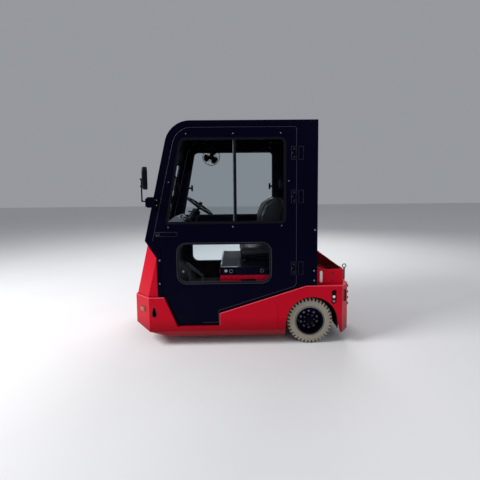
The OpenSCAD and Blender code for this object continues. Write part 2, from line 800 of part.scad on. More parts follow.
// Dashboard moulding across the foot of the windscreen
dash_front = frame_t_x + seat_gap;
dash_end_z = dash_top - 125;
dash_foot_z = tip_z + 5;
dash_profile = [[toe_top_x, dash_low_z], [tip_x - 313, dash_top - 108], [tip_x - 318, dash_top - 71],
                [tip_x - 246, dash_top], [tip_x - 220, dash_top],
                [front_x(dash_end_z) - dash_front, dash_end_z],
                [front_x(dash_foot_z) - dash_front, dash_foot_z],
                [toe_top_x + 60, dash_foot_z], [toe_top_x + 60, dash_low_z]];
shelf_z = dash_top - 90;
shelf_profile = [[toe_top_x, dash_low_z], [tip_x - 285, shelf_z - 42], [tip_x - 285, shelf_z - 10],
                 [tip_x - 272, shelf_z], [front_x(shelf_z) - dash_front, shelf_z],
                 [front_x(dash_foot_z) - dash_front, dash_foot_z],
                 [toe_top_x + 60, dash_foot_z], [toe_top_x + 60, dash_low_z]];
pod_half = 200;

// The driver's instrument pod, and the lower shelves on both sides of it
module dashboard() {
    color(grey) {
        across(-pod_half, pod_half) polygon(dash_profile);
        both_sides() across(pod_half - cut, frame_in - 20) polygon(shelf_profile);
    }
}

module at_steering() {
    translate([tip_x - steer_back, 0, steer_z]) rotate([0, -steer_tilt, 0]) children();
}

module steering_column() {
    color(black) difference() {
        at_steering() {
            translate([0, 0, -260]) cylinder(r = 30, h = 215, $fn = 48);
            translate([0, 0, -150]) cylinder(r = 44, h = 90, $fn = 48);
            translate([0, 0, -46]) cylinder(r = 16, h = 16, $fn = 32);
        }
        across(-200, 200) polygon(dash_profile);
    }
}

module steering_wheel() {
    grip = 12;
    ring_r = steer_d / 2 - grip;
    color(black) at_steering() {
        rotate_extrude($fn = 72) translate([ring_r, 0]) circle(r = grip, $fn = 12);
        translate([0, 0, -30 + seat_gap]) cylinder(r = 34, h = 32, $fn = 48);
        for (a = [90, 210, 330]) rotate([0, 0, a]) translate([20, -11, -10]) cube([ring_r - 20, 22, 8]);
        translate([0, ring_r, 0]) {
            translate([0, 0, -4]) cylinder(r = 8, h = 34, $fn = 24);
            translate([0, 0, 28]) cylinder(r = 18, h = 26, $fn = 32);
        }
    }
}

module pedals() {
    stem_x = toe_x + 17;
    stem_z = floor_z + 190;
    color(black) {
        translate([toe_x, -150, floor_z]) {
            across(-45, 45) polygon([[-102, 58], [76, 211], [71, 217], [-107, 64]]);
            block([-101, -20, 0], [-87, 20, 70]);
        }
        translate([0, -20, 0]) {
            translate([toe_x, 0, floor_z])
                across(-35, 35) polygon([[-19, 164], [45, 204], [41, 211], [-23, 171]]);
            across(-8, 8) polygon([[stem_x, toe_z(stem_x)], [stem_x, stem_z], [stem_x + 14, stem_z + 8],
                                   [stem_x + 14, toe_z(stem_x + 14)]]);
        }
    }
}

module headlamps() {
    r = headlamp_r - seat_gap;
    bezel = 7;
    color("#d8dde0") both_sides() translate([x_front - 44, headlamp_y, headlamp_z]) rotate([0, 90, 0])
        rotate_extrude($fn = 64) polygon(concat([[0, 0], [r - 14, 0], [r, 18], [r, 42], [r - bezel + 2, 42]],
            [for (a = [0 : 18 : 72]) [(r - bezel) * cos(a), 37 + 4 * sin(a)]], [[8, 41], [0, 41]]));
}

module corner_lamps() {
    turn = atan2(front_chamfer_x, front_chamfer_y);
    color("#e08a1e") both_sides()
        translate([x_front - front_chamfer_x * 0.55, half_w - front_chamfer_y * 0.45, 345])
            rotate([0, 0, turn]) along(0, 14)
                translate([-45, -27]) rounded_rect(90, 54, 14);
}

module inching_switches() {
    color(black) both_sides() {
        block([switch_x - 27, half_w - side_t - 30, switch_z - 66],
              [switch_x + 27, half_w - side_t, switch_z + 66]);
        for (k = [-1 : 1]) translate([switch_x, half_w - side_t, switch_z + k * switch_pitch])
            rotate([-90, 0, 0]) cylinder(r = 15, h = 12, $fn = 32);
    }
}

// Cab side frames: one ring round each door with a panelled rear post
module cab_sides() {
    color(black) both_sides() difference() {
        across(frame_in, cab_half) difference() {
            rounded_outline(cab_outline, cab_radii);
            rounded_outline(opening_outline, door_radii);
        }
        block([cab_rear_x + 14, frame_in - cut, deck_z + 60],
              [door_rear_x - 20, cab_half - 4, cab_top - 70]);
    }
}

arc_low_z = cab_top - roof_r * tan((90 - lean) / 2) * cos(lean);
screen_low = tip_z + 78;
screen_high = cab_top - 313;
screen_half = frame_in - 22;

module screen_outline() {
    translate([-screen_half, screen_low]) rounded_rect(2 * screen_half, screen_high - screen_low, corner_r);
}

// Slice of the windscreen's plane between two depths behind its front face
module screen_slab(d0, d1, z0, z1, y) {
    across(-y, y) polygon([
        [front_x(z0) - d0 / cos(lean), z0], [front_x(z0) - d1 / cos(lean), z0],
        [front_x(z1) - d1 * cos(lean), z1 - d1 * sin(lean)],
        [front_x(z1) - d0 * cos(lean), z1 - d0 * sin(lean)]]);
}

module cab_front_frame() {
    color(black) difference() {
        screen_slab(0, frame_t, tip_z, arc_low_z, frame_in);
        along(tip_x - 400, tip_x + 100) screen_outline();
    }
}

module cab_roof() {
    c = [front_x(cab_top) - roof_r * tan((90 - lean) / 2), cab_top - roof_r];
    color(black) across(-frame_in, frame_in) {
        translate([cab_rear_x, cab_top - sheet_t]) square([c[0] - cab_rear_x, sheet_t]);
        intersection() {
            translate(c) difference() {
                circle(r = roof_r, $fn = 128);
                circle(r = roof_r - sheet_t, $fn = 128);
            }
            polygon([c, c + [0, 2 * roof_r], c + [2 * roof_r, 2 * roof_r],
                     c + 2 * roof_r * [cos(lean), sin(lean)]]);
        }
    }
}

rear_win_low = deck_z + 598;
rear_win_high = cab_top - 158;
rear_win_half = frame_in - 92;

module rear_window_outline() {
    translate([-rear_win_half, rear_win_low])
        rounded_rect(2 * rear_win_half, rear_win_high - rear_win_low, corner_r);
}

module cab_rear_wall() {
    color(black) along(cab_rear_x, cab_rear_x + sheet_t) difference() {
        translate([-frame_in, deck_z]) square([2 * frame_in, cab_top - sheet_t - deck_z]);
        rear_window_outline();
    }
}

module cab_glass() {
    color("#9fb4c0", 0.35) {
        intersection() {
            screen_slab(10, 10 + glass_t, screen_low, screen_high, screen_half);
            along(tip_x - 400, tip_x + 100) screen_outline();
        }
        along(cab_rear_x + 0.5, cab_rear_x + 0.5 + glass_t) rear_window_outline();
    }
}

module wiper() {
    y = 200 - screen_half;
    z0 = screen_low - 35;
    z1 = screen_low + 435;
    x0 = front_x(z0);
    color(black) {
        translate([x0, y, z0]) rotate([0, 90 - lean, 0]) cylinder(r = 14, h = 26, $fn = 32);
        rod([x0 + 20, y, z0], [front_x(z1) + 20, y - 30, z1], 6);
        screen_slab_bar(y - 36, y - 24, screen_low + 115, screen_low + 575, -16, -4);
        rod([front_x(z1) + 20, y - 30, z1], [front_x(z1) + 6, y - 30, z1], 5);
    }
}

module screen_slab_bar(y0, y1, z0, z1, d0, d1) {
    across(y0, y1) polygon([
        [front_x(z0) - d0 / cos(lean), z0], [front_x(z0) - d1 / cos(lean), z0],
        [front_x(z1) - d1 / cos(lean), z1], [front_x(z1) - d0 / cos(lean), z1]]);
}

module cab_fan() {
    fan_x = tip_x - 561;
    fan_y = -250;
    fan_z = cab_top - 241;
    face_y = 22;
    plate_r = 26;
    motor_r = 32;
    tip_r = guard_r - 9;
    blade = [[16, -10], [16, 10], [tip_r - 24, 22], [tip_r, 4], [tip_r - 6, -30], [44, -34]];
    color(black) translate([fan_x, fan_y, fan_z]) {
        for (y = [-face_y, 0, face_y]) translate([0, y, 0]) rotate([90, 0, 0]) rotate_extrude($fn = 48)
            translate([guard_r - abs(y) / 3 - 2.5, -2.5]) square(5);
        for (y = [-face_y, face_y], k = [0 : guard_wires - 1]) rotate([0, (k + 0.5) * 360 / guard_wires, 0])
            block([plate_r - 6, y - 1.5, -1.5], [guard_r - face_y / 3, y + 1.5, 1.5]);
        for (k = [0 : 2 : guard_wires - 1]) rotate([0, (k + 0.5) * 360 / guard_wires, 0])
            block([guard_r - 9, -face_y, -4], [guard_r - 2, face_y, 4]);
        for (k = [0 : fan_blades - 1]) rotate([0, k * 360 / fan_blades, 0]) rotate([fan_pitch, 0, 0])
            across(-1.5, 1.5) rounded_outline(blade, [2, 2, 16, 14, 12, 14]);
        translate([0, 14, 0]) rotate([90, 0, 0]) cylinder(r = 20, h = 40, $fn = 48);
        translate([0, face_y + 2, 0]) rotate([90, 0, 0]) cylinder(r = plate_r, h = 4, $fn = 48);
        translate([0, -18, 0]) rotate([90, 0, 0]) cylinder(r = motor_r, h = 46, $fn = 48);
        translate([0, -32, 0]) cylinder(r = 8, h = cab_top - sheet_t - fan_z, $fn = 24);
    }
}

mirror_y = cab_half + 130;
arm_r = 6;
arm_x = tip_x - 28;
bracket = [76, 60, 72];

module mirror_arms() {
    foot = [tip_x - 110, cab_half, mirror_z - 245];
    elbow_z = mirror_z - 200;
    color(black) both_sides() {
        block(foot, foot + bracket);
        rod([arm_x - 16, cab_half + bracket[1] - 5, elbow_z], [arm_x, mirror_y, elbow_z + 7], arm_r);
        rod([arm_x, mirror_y, elbow_z], [arm_x, mirror_y, mirror_z], arm_r);
    }
}

module mirror_heads() {
    color(black) both_sides() translate([arm_x - arm_r - seat_gap, mirror_y, mirror_z]) difference() {
        hull() {
            along(-mirror_d, -mirror_d + 16) mirror_oval(0);
            along(-2, 0) mirror_oval(16);
        }
        along(-mirror_d - cut, -mirror_d + 4) mirror_oval(8);
    }
}

// Outline of a mirror's head, moved in by a margin
module mirror_oval(m) {
    translate([m - mirror_w / 2, m - mirror_h / 2]) rounded_rect(mirror_w - 2 * m, mirror_h - 2 * m, 48 - m);
}

// Fixed half of each door hinge with its pin
module hinge_leaves() {
    color(black) both_sides() for (z = hinge_zs) translate([0, 0, z]) {
        block([hinge_x - 56, cab_half, -hinge_h / 2], [hinge_x - knuckle_r - 1, cab_half + 5, hinge_h / 2]);
        for (s = [-1, 1]) {
            block([hinge_x - knuckle_r - 2, cab_half + 1, s * 40 - 19],
                  [hinge_x, cab_half + 6, s * 40 + 19]);
            translate([hinge_x, hinge_y, s * 40]) cylinder(r = knuckle_r, h = 38, center = true, $fn = 32);
        }
        translate([hinge_x, hinge_y, 0]) cylinder(r = 4, h = hinge_h, center = true, $fn = 24);
    }
}

module door_panel(side) {
    color(black) on_side(side) across(cab_half - door_t, cab_half) difference() {
        rounded_outline(door_outline, door_radii);
        rounded_outline(upper_window, upper_radii);
        lower_window(0);
    }
}

win_high = cab_top - win_drop;
door_front_low_x = front_x(win_low) - frame_front / cos(lean);
win_front_x = door_front_low_x - win_front;
upper_window = [[door_rear_x + win_rear, win_low], [door_rear_x + win_rear, win_high],
                [win_front_x - tan(win_lean) * (win_high - win_low), win_high], [win_front_x, win_low]];
upper_radii = [50, corner_r, 70, 30];
low_win_x = door_rear_x + low_win_rear;
low_win_len = step_front_x - 1 - low_win_x;

module lower_window(m) {
    translate([low_win_x + m, low_win_z + m])
        rounded_rect(low_win_len - 2 * m, low_win_h - 2 * m, low_win_r - m);
}

module upper_inner(gap) {
    m = trim_w + gap;
    rounded_outline(inset(upper_window, [m, m, m, m]), [for (r = upper_radii) max(10, r - m)]);
}

stile_x = tip_x - 825;
pane_y = cab_half - door_t / 2 - 2;

// Frames of the sliding window and seal of the lower window
module door_trim(side) {
    y1 = cab_half - 3;
    y0 = cab_half - door_t + 3;
    color(black) on_side(side) {
        across(y0, y1) difference() {
            rounded_outline(upper_window, upper_radii);
            upper_inner(0);
        }
        across(pane_y + glass_t + seat_gap, y1) translate([stile_x - 11, win_low + trim_w])
            square([22, win_high - win_low - 2 * trim_w]);
        across(y0, cab_half + 4) difference() {
            lower_window(0);
            lower_window(trim_w);
        }
    }
}

module door_glass(side) {
    color("#9fb4c0", 0.35) on_side(side) {
        across(pane_y - glass_t - 1, pane_y - 1) intersection() {
            upper_inner(seat_gap);
            translate([stile_x - 15, 0]) square([2000, 3000]);
        }
        across(pane_y, pane_y + glass_t) intersection() {
            upper_inner(seat_gap);
            translate([stile_x + 15 - 2000, 0]) square([2000, 3000]);
        }
        across(pane_y, pane_y + glass_t) lower_window(trim_w + seat_gap);
    }
}

// Paddle handle with its lock, and the moving half of each hinge
module door_fittings(side) {
    handle_x = tip_x - 295;
    handle_z = win_low - 87;
    color(black) on_side(side) {
        across(cab_half, cab_half + 6) translate([handle_x, handle_z - 20]) rounded_rect(195, 40, 18);
        across(cab_half + 6, cab_half + 26) translate([handle_x + 8, handle_z - 8])
            rounded_rect(130, 24, 10);
        translate([handle_x + 165, cab_half + 6, handle_z]) rotate([-90, 0, 0])
            cylinder(r = 12, h = 8, $fn = 32);
        for (z = hinge_zs) translate([0, 0, z]) {
            block([hinge_x + knuckle_r + 3, cab_half, -hinge_h / 2],
                  [hinge_x + 56, cab_half + 5, hinge_h / 2]);
            difference() {
                union() {
                    block([hinge_x, cab_half + 2, -20], [hinge_x + knuckle_r + 4, cab_half + 5, 20]);
                    translate([hinge_x, hinge_y, 0])
                        cylinder(r = knuckle_r, h = 40, center = true, $fn = 32);
                }
                translate([hinge_x, hinge_y, 0]) cylinder(r = 4 + run_gap, h = 50, center = true, $fn = 24);
            }
        }
    }
}

// Battery hood, which tips forward with the seat on it
hood_hinge_x = bay_front_x + 8;
hood_hinge_z = bay_top + 6;
hood_hinge_ys = [-250, 250];
hood_front_x = bay_front_x - 1;
hood_rear_x = cab_rear_x + sheet_t + 19;

module battery_hood() {
    color(black) {
        difference() {
            block([hood_rear_x, -bay_half, bay_top + seat_gap], [hood_front_x, bay_half, hood_top]);
            block([hood_rear_x + 8, -bay_half + 8, bay_top], [hood_front_x - 8, bay_half - 8, hood_top - 8]);
        }
        for (y = hood_hinge_ys) difference() {
            union() {
                block([hood_front_x - 2, y - 20, hood_hinge_z], [hood_hinge_x, y + 20, hood_hinge_z + 6]);
                translate([hood_hinge_x, y, hood_hinge_z]) rotate([90, 0, 0])
                    cylinder(r = 6, h = 40, center = true, $fn = 32);
            }
            translate([hood_hinge_x, y, hood_hinge_z]) rotate([90, 0, 0])
                cylinder(r = 3 + run_gap, h = 50, center = true, $fn = 24);
        }
    }
}

seat_front_x = bay_front_x - seat_setback;
seat_rear_x = seat_front_x - seat_len;

module seat_cushion() {
    color(black) {
        block([seat_rear_x + 30, -170, hood_top], [seat_front_x - 60, 170, hood_top + 50]);
        across(-seat_w / 2, seat_w / 2) rounded_outline(
            [[seat_rear_x, hood_top + 50], [seat_rear_x, cushion_z(seat_rear_x)],
             [seat_front_x, cushion_z(seat_front_x)], [seat_front_x, hood_top + 50]], [0, 20, 45, 30]);
    }
}

// Top of the cushion, which rises towards the front
function cushion_z(x) = hood_top + cushion_h - 40 * (seat_front_x - x) / seat_len;

module seat_back() {
    top = hood_top + back_h;
    x = seat_rear_x;
    color(black) across(-seat_w / 2 + 10, seat_w / 2 - 10) rounded_outline(
        [[x - 8, cushion_z(x - 8) + seat_gap], [x - 14, top - 92], [x + 15, top], [x + 100, top],
         [x + 210, top - 72], [x + 258, top - 182], [x + 264, top - 272],
         [x + 242, cushion_z(x + 242) + seat_gap]], [30, 60, 38, 60, 120, 0, 0, 40]);
}

lower_shell();
belly_pan();
rear_fenders();
rear_plate();
frame_rails();
wheel_wells();
floor_pan();
bulkhead();
nose_cowl();
battery_bay();
battery();
load_tray();
tow_coupler();
drive_axle();
steer_mount();
dashboard();
steering_column();
pedals();
headlamps();
corner_lamps();
tail_lamps();
inching_switches();
cab_sides();
cab_front_frame();
cab_roof();
cab_rear_wall();
cab_glass();
wiper();
cab_fan();
mirror_arms();
mirror_heads();
hinge_leaves();
battery_hood();
seat_cushion();
seat_back();
door_panel(1);  // door_panel_left
door_trim(1);  // door_trim_left
door_glass(1);  // door_glass_left
door_fittings(1);  // door_fittings_left
door_panel(-1);  // door_panel_right
door_trim(-1);  // door_trim_right
door_glass(-1);  // door_glass_right
door_fittings(-1);  // door_fittings_right
steer_fork();
front_tyre();
front_rim();
rear_tyre(1);  // rear_tyre_left
rear_rim(1);  // rear_rim_left
rear_tyre(-1);  // rear_tyre_right
rear_rim(-1);  // rear_rim_right
tow_pin();
steering_wheel();
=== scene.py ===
"""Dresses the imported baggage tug: paint, glass, padded seat, tyres, windows and small fittings."""

import math

import bmesh
import bpy
from mathutils import Matrix, Vector


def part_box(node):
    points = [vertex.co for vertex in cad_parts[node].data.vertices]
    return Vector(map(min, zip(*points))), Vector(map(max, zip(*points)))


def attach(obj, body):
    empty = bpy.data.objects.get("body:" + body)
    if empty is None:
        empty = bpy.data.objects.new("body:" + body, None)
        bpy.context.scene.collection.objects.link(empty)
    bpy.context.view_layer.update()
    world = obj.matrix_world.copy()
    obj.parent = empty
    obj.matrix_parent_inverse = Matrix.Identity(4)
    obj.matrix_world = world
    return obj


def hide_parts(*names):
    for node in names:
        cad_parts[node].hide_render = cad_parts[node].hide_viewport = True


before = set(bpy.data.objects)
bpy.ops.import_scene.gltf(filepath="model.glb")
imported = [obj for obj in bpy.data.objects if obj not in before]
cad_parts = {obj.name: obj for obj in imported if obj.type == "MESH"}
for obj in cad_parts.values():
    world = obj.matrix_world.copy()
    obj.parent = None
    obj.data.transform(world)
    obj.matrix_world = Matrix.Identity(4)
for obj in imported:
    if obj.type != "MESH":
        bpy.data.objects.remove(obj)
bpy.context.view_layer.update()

bl_info = {
    "name": "Baggage tug dressing",
    "version": (1, 0, 0),
    "blender": (4, 5, 0),
    "location": "3D View > Sidebar > Tug",
    "description": "Builds the finishes and fittings of an electric baggage tug round its packed frame",
    "category": "Object",
}

SIDES = (1, -1)
NAMES = {1: "left", -1: "right"}
DOORS = (("door_left", 1), ("door_right", -1))
ORIGIN = (0, 0, 0)
UP = Vector((0, 0, 1))
LEFT = Vector((0, 1, 0))


# Places that the frame gives

def low(node):
    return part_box(node)[0]


def high(node):
    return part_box(node)[1]


def middle(node):
    return (low(node) + high(node)) / 2


CAB_SIDE = high("cab_sides").y
DOOR_IN = low("door_panel_left").y
GLASS_IN = low("door_glass_left").y
HOOD_TOP = high("battery_hood").z
FLOOR_Z = high("floor_pan").z
BELT_TOP = high("rear_fenders").z
# The cab's foremost corner, and the lean of the windscreen above it
TIP = Vector((high("cab_sides").x, 0, 0.987))
LEAN = math.radians(13)
# The steering wheel's centre and lean, as one matrix
COLUMN_TURN = Matrix.Translation((0.506, 0, 1.277)) @ Matrix.Rotation(math.radians(-35), 4, "Y")
# The doors' sliding windows: sill, lower front corner, lean of the front edge and the stile between the panes
WINDOW_SILL = 1.132
WINDOW_FRONT = 0.776
WINDOW_LEAN = math.radians(10.8)
STILE_X = TIP.x - 0.825
# The height between a door's lower and sliding window
TRIM_CHANGE = 1.05
# The windscreen's opening
SCREEN_LOW = 1.065
SCREEN_HIGH = 1.745
# The doors' hinges: their pin, heights and outer face
HINGE = Vector((-0.4285, 0.510, 0))
HINGE_HEIGHTS = (0.719, 1.376, 1.764)
HINGE_FACE = CAB_SIDE + 0.0045
# A hinge's bolts, along and up from its pin, with their radius and height
HINGE_BOLTS = ((0.030, 0.036), (0.030, -0.036), (0.047, 0.0))
HINGE_BOLT = 0.0058
HINGE_BOLT_TALL = 0.0055
# The doors' locks
LOCK = Vector((TIP.x - 0.130, 0, 1.045))


def screen_x(z):
    """Where the windscreen's outer plane stands at a height."""
    return TIP.x - math.tan(LEAN) * (z - TIP.z)


# Ways of modelling

def deselect():
    if bpy.context.object and bpy.context.object.mode != "OBJECT":
        bpy.ops.object.mode_set(mode="OBJECT")
    bpy.ops.object.select_all(action="DESELECT")


def only(obj):
    deselect()
    obj.select_set(True)
    bpy.context.view_layer.objects.active = obj
    return obj


def bake_place(obj):
    only(obj)
    bpy.ops.object.transform_apply(location=True, rotation=True, scale=True)
    return obj


def edit(obj, mode="FACE", everything=True):
    only(obj)
    bpy.ops.object.mode_set(mode="EDIT")
    bpy.ops.mesh.select_mode(type=mode)
    bpy.ops.mesh.select_all(action="SELECT" if everything else "DESELECT")


def leave():
    bpy.ops.object.mode_set(mode="OBJECT")


def pick(obj, test, kind="faces"):
    """Selects the faces, edges or vertices that pass the test, in edit mode."""
    mesh = bmesh.from_edit_mesh(obj.data)
    for item in getattr(mesh, kind):
        item.select_set(bool(test(item)))
    mesh.select_flush_mode()
    bmesh.update_edit_mesh(obj.data)


def outward(obj):
    edit(obj)
    bpy.ops.mesh.normals_make_consistent(inside=False)
    leave()
    return obj


def placed(obj, matrix):
    """Moves a mesh by a matrix and applies it, with its faces still outwards after a mirroring one."""
    obj.matrix_world = matrix @ obj.matrix_world
    bake_place(obj)
    return outward(obj) if matrix.determinant() < 0 else obj


def copied(obj, move=ORIGIN):
    clone = obj.copy()
    clone.data = obj.data.copy()
    bpy.context.collection.objects.link(clone)
    clone.location = Vector(clone.location) + Vector(move)
    return bake_place(clone)


def turned(obj, angle, axis, centre):
    there = Matrix.Translation(Vector(centre))
    return placed(obj, there @ Matrix.Rotation(angle, 4, axis) @ there.inverted())


def mirrored(obj):
    """A copy on the other side of the tug."""
    clone = copied(obj)
    clone.scale = (1, -1, 1)
    return outward(bake_place(clone))


def joined(parts):
    deselect()
    for part in parts:
        part.select_set(True)
    bpy.context.view_layer.objects.active = parts[0]
    if len(parts) > 1:
        bpy.ops.object.join()
    return bpy.context.object


def both(obj):
    return joined([obj, mirrored(obj)])


def facing(obj, side):
    """A piece modelled for the left side, turned round where it belongs on the right."""
    return turned(obj, math.pi, "Z", ORIGIN) if side < 0 else obj


def around(obj, count, axis, centre, start=0.0):
    """The object repeated evenly about a line, as one mesh."""
    made = [obj]
    for k in range(1, count):
        made.append(turned(copied(obj), 2 * math.pi * k / count, axis, centre))
    return turned(joined(made), start, axis, centre)


def at_places(obj, places):
    """The object repeated at each place, as one mesh."""
    made = [copied(obj, place) for place in places]
    bpy.data.objects.remove(obj)
    return joined(made)


def modify(obj, kind, **values):
    only(obj)
    modifier = obj.modifiers.new(kind.lower(), kind)
    for key, value in values.items():
        setattr(modifier, key, value)
    bpy.ops.object.modifier_apply(modifier=modifier.name)
    return obj


def eased(obj, width, steps=2, angle=30):
    """Rounds the sharp edges."""
    return modify(obj, "BEVEL", width=width, segments=steps, limit_method="ANGLE",
                  angle_limit=math.radians(angle))


def block(a, b, edge=0.0, steps=2):
    deselect()
    a, b = Vector(a), Vector(b)
    bpy.ops.mesh.primitive_cube_add(size=1, location=(a + b) / 2)
    obj = bpy.context.object
    obj.scale = [abs(side) for side in b - a]
    bake_place(obj)
    return eased(obj, edge, steps) if edge else obj


def rod(a, b, radius, sides=20, radius2=None, edge=0.0):
    """A round bar, or a cone, between two points."""
    deselect()
    a, b = Vector(a), Vector(b)
    turn = (b - a).to_track_quat("Z", "Y").to_euler()
    second = radius if radius2 is None else radius2
    bpy.ops.mesh.primitive_cone_add(vertices=sides, radius1=radius, radius2=second, depth=(b - a).length,
                                    location=(a + b) / 2, rotation=turn)
    obj = bake_place(bpy.context.object)
    return eased(obj, edge, 2, 40) if edge else obj


def hoop(centre, major, minor, axis=UP, steps=48, sides=12):
    deselect()
    turn = Vector(axis).to_track_quat("Z", "Y").to_euler()
    bpy.ops.mesh.primitive_torus_add(major_radius=major, minor_radius=minor, major_segments=steps,
                                     minor_segments=sides, location=centre, rotation=turn)
    return bake_place(bpy.context.object)


def traced(points, closed=False):
    """A line of edges through the points, drawn by extruding one vertex."""
    deselect()
    bpy.ops.mesh.primitive_plane_add(size=0.001, location=points[0])
    obj = bake_place(bpy.context.object)
    edit(obj, "VERT")
    bpy.ops.mesh.merge(type="CENTER")
    here = Vector(points[0])
    for point in points[1:]:
        bpy.ops.mesh.extrude_vertices_move(TRANSFORM_OT_translate={"value": Vector(point) - here})
        here = Vector(point)
    if closed:
        bpy.ops.mesh.select_all(action="SELECT")
        bpy.ops.mesh.edge_face_add()
    leave()
    return obj


def plate(points, depth, edge=0.0, steps=2):
    """A flat outline given a thickness along a vector."""
    obj = traced(points, closed=True)
    edit(obj)
    bpy.ops.mesh.extrude_region_move(TRANSFORM_OT_translate={"value": depth})
    leave()
    outward(obj)
    return eased(obj, edge, steps) if edge else obj


def band(points, width, depth, edge=0.0, steps=2):
    """A closed outline made a flat frame of one width, given a thickness along a vector."""
    obj = traced(points, closed=True)
    edit(obj)
    bpy.ops.mesh.inset(thickness=width, depth=0, use_even_offset=True)
    bpy.ops.mesh.delete(type="FACE")
    bpy.ops.mesh.select_all(action="SELECT")
    bpy.ops.mesh.extrude_region_move(TRANSFORM_OT_translate={"value": depth})
    leave()
    outward(obj)
    return eased(obj, edge, steps) if edge else obj


LAY = {"X": lambda r, t: (t, r, 0), "Y": lambda r, t: (r, t, 0), "Z": lambda r, t: (r, 0, t)}
LINE = {"X": (1, 0, 0), "Y": (0, 1, 0), "Z": (0, 0, 1)}


def lathe(profile, centre, axis="Y", steps=64):
    """A profile of (radius, place along the axis) spun round that axis."""
    obj = traced([Vector(LAY[axis](r, t)) + Vector(centre) for r, t in profile])
    edit(obj, "VERT")
    bpy.ops.mesh.spin(steps=steps, angle=2 * math.pi, center=centre, axis=LINE[axis])
    bpy.ops.mesh.select_all(action="SELECT")
    bpy.ops.mesh.remove_doubles(threshold=0.00002)
    leave()
    return outward(obj)


def tube(points, radius, sides=12, smooth=6, closed=False):
    """A bent round tube through the points."""
    curve = bpy.data.curves.new("tube", "CURVE")
    curve.dimensions = "3D"
    curve.bevel_depth = radius
    curve.bevel_resolution = max(1, sides // 4 - 1)
    curve.use_fill_caps = True
    spline = curve.splines.new("BEZIER")
    spline.bezier_points.add(len(points) - 1)
    spline.resolution_u = smooth
    spline.use_cyclic_u = closed
    for knot, point in zip(spline.bezier_points, points):
        knot.co = point
        knot.handle_left_type = knot.handle_right_type = "AUTO"
    obj = bpy.data.objects.new("tube", curve)
    bpy.context.collection.objects.link(obj)
    only(obj)
    bpy.ops.object.convert(target="MESH")
    return bpy.context.object


def rounded(corners, radius, steps=6):
    """The points of an outline in two measures whose corners are arcs of a radius, or one each."""
    points = []
    count = len(corners)
    radii = radius if isinstance(radius, (list, tuple)) else [radius] * count
    for k in range(count):
        here = Vector(corners[k])
        before = (Vector(corners[k - 1]) - here).normalized()
        after = (Vector(corners[(k + 1) % count]) - here).normalized()
        half = before.angle(after) / 2
        centre = here + (before + after).normalized() * radii[k] / math.sin(half)
        start = here + before * radii[k] / math.tan(half) - centre
        sweep = math.pi - 2 * half
        if before.x * after.y - before.y * after.x > 0:
            sweep = -sweep
        for j in range(steps + 1):
            a = sweep * j / steps
            turn = Vector((start.x * math.cos(a) - start.y * math.sin(a),
                           start.x * math.sin(a) + start.y * math.cos(a)))
            points.append(centre + turn)
    return points


def rectangle(x0, z0, x1, z1, radius=0.0, steps=6):
    """An upright rectangle in two measures, with arcs at its corners where a radius is given."""
    corners = [(x0, z0), (x0, z1), (x1, z1), (x1, z0)]
    return rounded(corners, radius, steps) if radius else corners


def parted(points):
    """An outline in two measures without the points that fall together."""
    return [p for k, p in enumerate(points) if k == 0 or (p - points[k - 1]).length > 0.0005]


def on_side(points, y):
    """Points measured along and up, put on a plane across the tug."""
    return [(x, y, z) for x, z in points]


def on_end(points, x):
    """Points measured across and up, put on a plane along the tug."""
    return [(x, y, z) for y, z in points]


def on_floor(points, z):
    """Points measured along and across, put on a level plane."""
    return [(x, y, z) for x, y in points]


def looking(place, out):
    """The matrix that puts an upright piece modelled on the XY plane at a place, turned to look along out."""
    return Matrix.Translation(place) @ Matrix((UP.cross(out), UP, out)).transposed().to_4x4()


def bolt(centre, direction, radius, tall, sides=6):
    """A hexagon head on a washer, or a round head with more sides."""
    centre, direction = Vector(centre), Vector(direction).normalized()
    washer = rod(centre, centre + direction * tall * 0.3, radius * 1.45, 20, edge=tall * 0.08)
    head = rod(centre + direction * tall * 0.3, centre + direction * tall, radius, sides, edge=tall * 0.12)
    return joined([washer, head])


def screw(centre, direction, radius, tall):
    """A round head that tapers, with a six-sided socket."""
    centre, direction = Vector(centre), Vector(direction).normalized()
    head = rod(centre, centre + direction * tall, radius, 18, radius2=radius * 0.72)
    edit(head, everything=False)
    pick(head, lambda f: f.normal.dot(direction) > 0.99)
    bpy.ops.mesh.inset(thickness=radius * 0.3, depth=0)
    bpy.ops.mesh.inset(thickness=radius * 0.02, depth=-tall * 0.5)
    leave()
    return eased(head, tall * 0.1, 1, 50)


def finish(obj, name, material, body, smooth=35, replaces=()):
    """Names a piece, gives it its finish and lets it ride on its body."""
    bake_place(obj)
    obj.name = name
    obj.data.name = name
    obj.data.materials.clear()
    obj.data.materials.append(MADE[material])
    bpy.ops.object.shade_smooth_by_angle(angle=math.radians(smooth))
    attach(obj, body)
    if replaces:
        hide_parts(*replaces)
    return obj


# Finishes

MADE = {}


def add(tree, kind, values=None, **settings):
    """Adds a shader node, with plain values or links for its inputs."""
    made = tree.nodes.new(kind)
    for key, value in settings.items():
        setattr(made, key, value)
    for key, value in (values or {}).items():
        if isinstance(value, bpy.types.NodeSocket):
            tree.links.new(value, made.inputs[key])
        else:
            made.inputs[key].default_value = value
    return made


def cloud(tree, place, scale, detail, rough=0.5):
    return add(tree, "ShaderNodeTexNoise", {"Vector": place, "Scale": scale, "Detail": detail,
                                            "Roughness": rough}).outputs["Fac"]


def ranged(tree, value, least, most, to_least=0.0, to_most=1.0):
    """A value carried from one range to another, and kept inside it."""
    return add(tree, "ShaderNodeMapRange", {0: value, 1: least, 2: most, 3: to_least, 4: to_most}).outputs[0]


def worked(tree, operation, first, second, clamp=False):
    return add(tree, "ShaderNodeMath", {0: first, 1: second}, operation=operation, use_clamp=clamp).outputs[0]


def height_of(tree, vector):
    return add(tree, "ShaderNodeSeparateXYZ", {0: vector}).outputs["Z"]


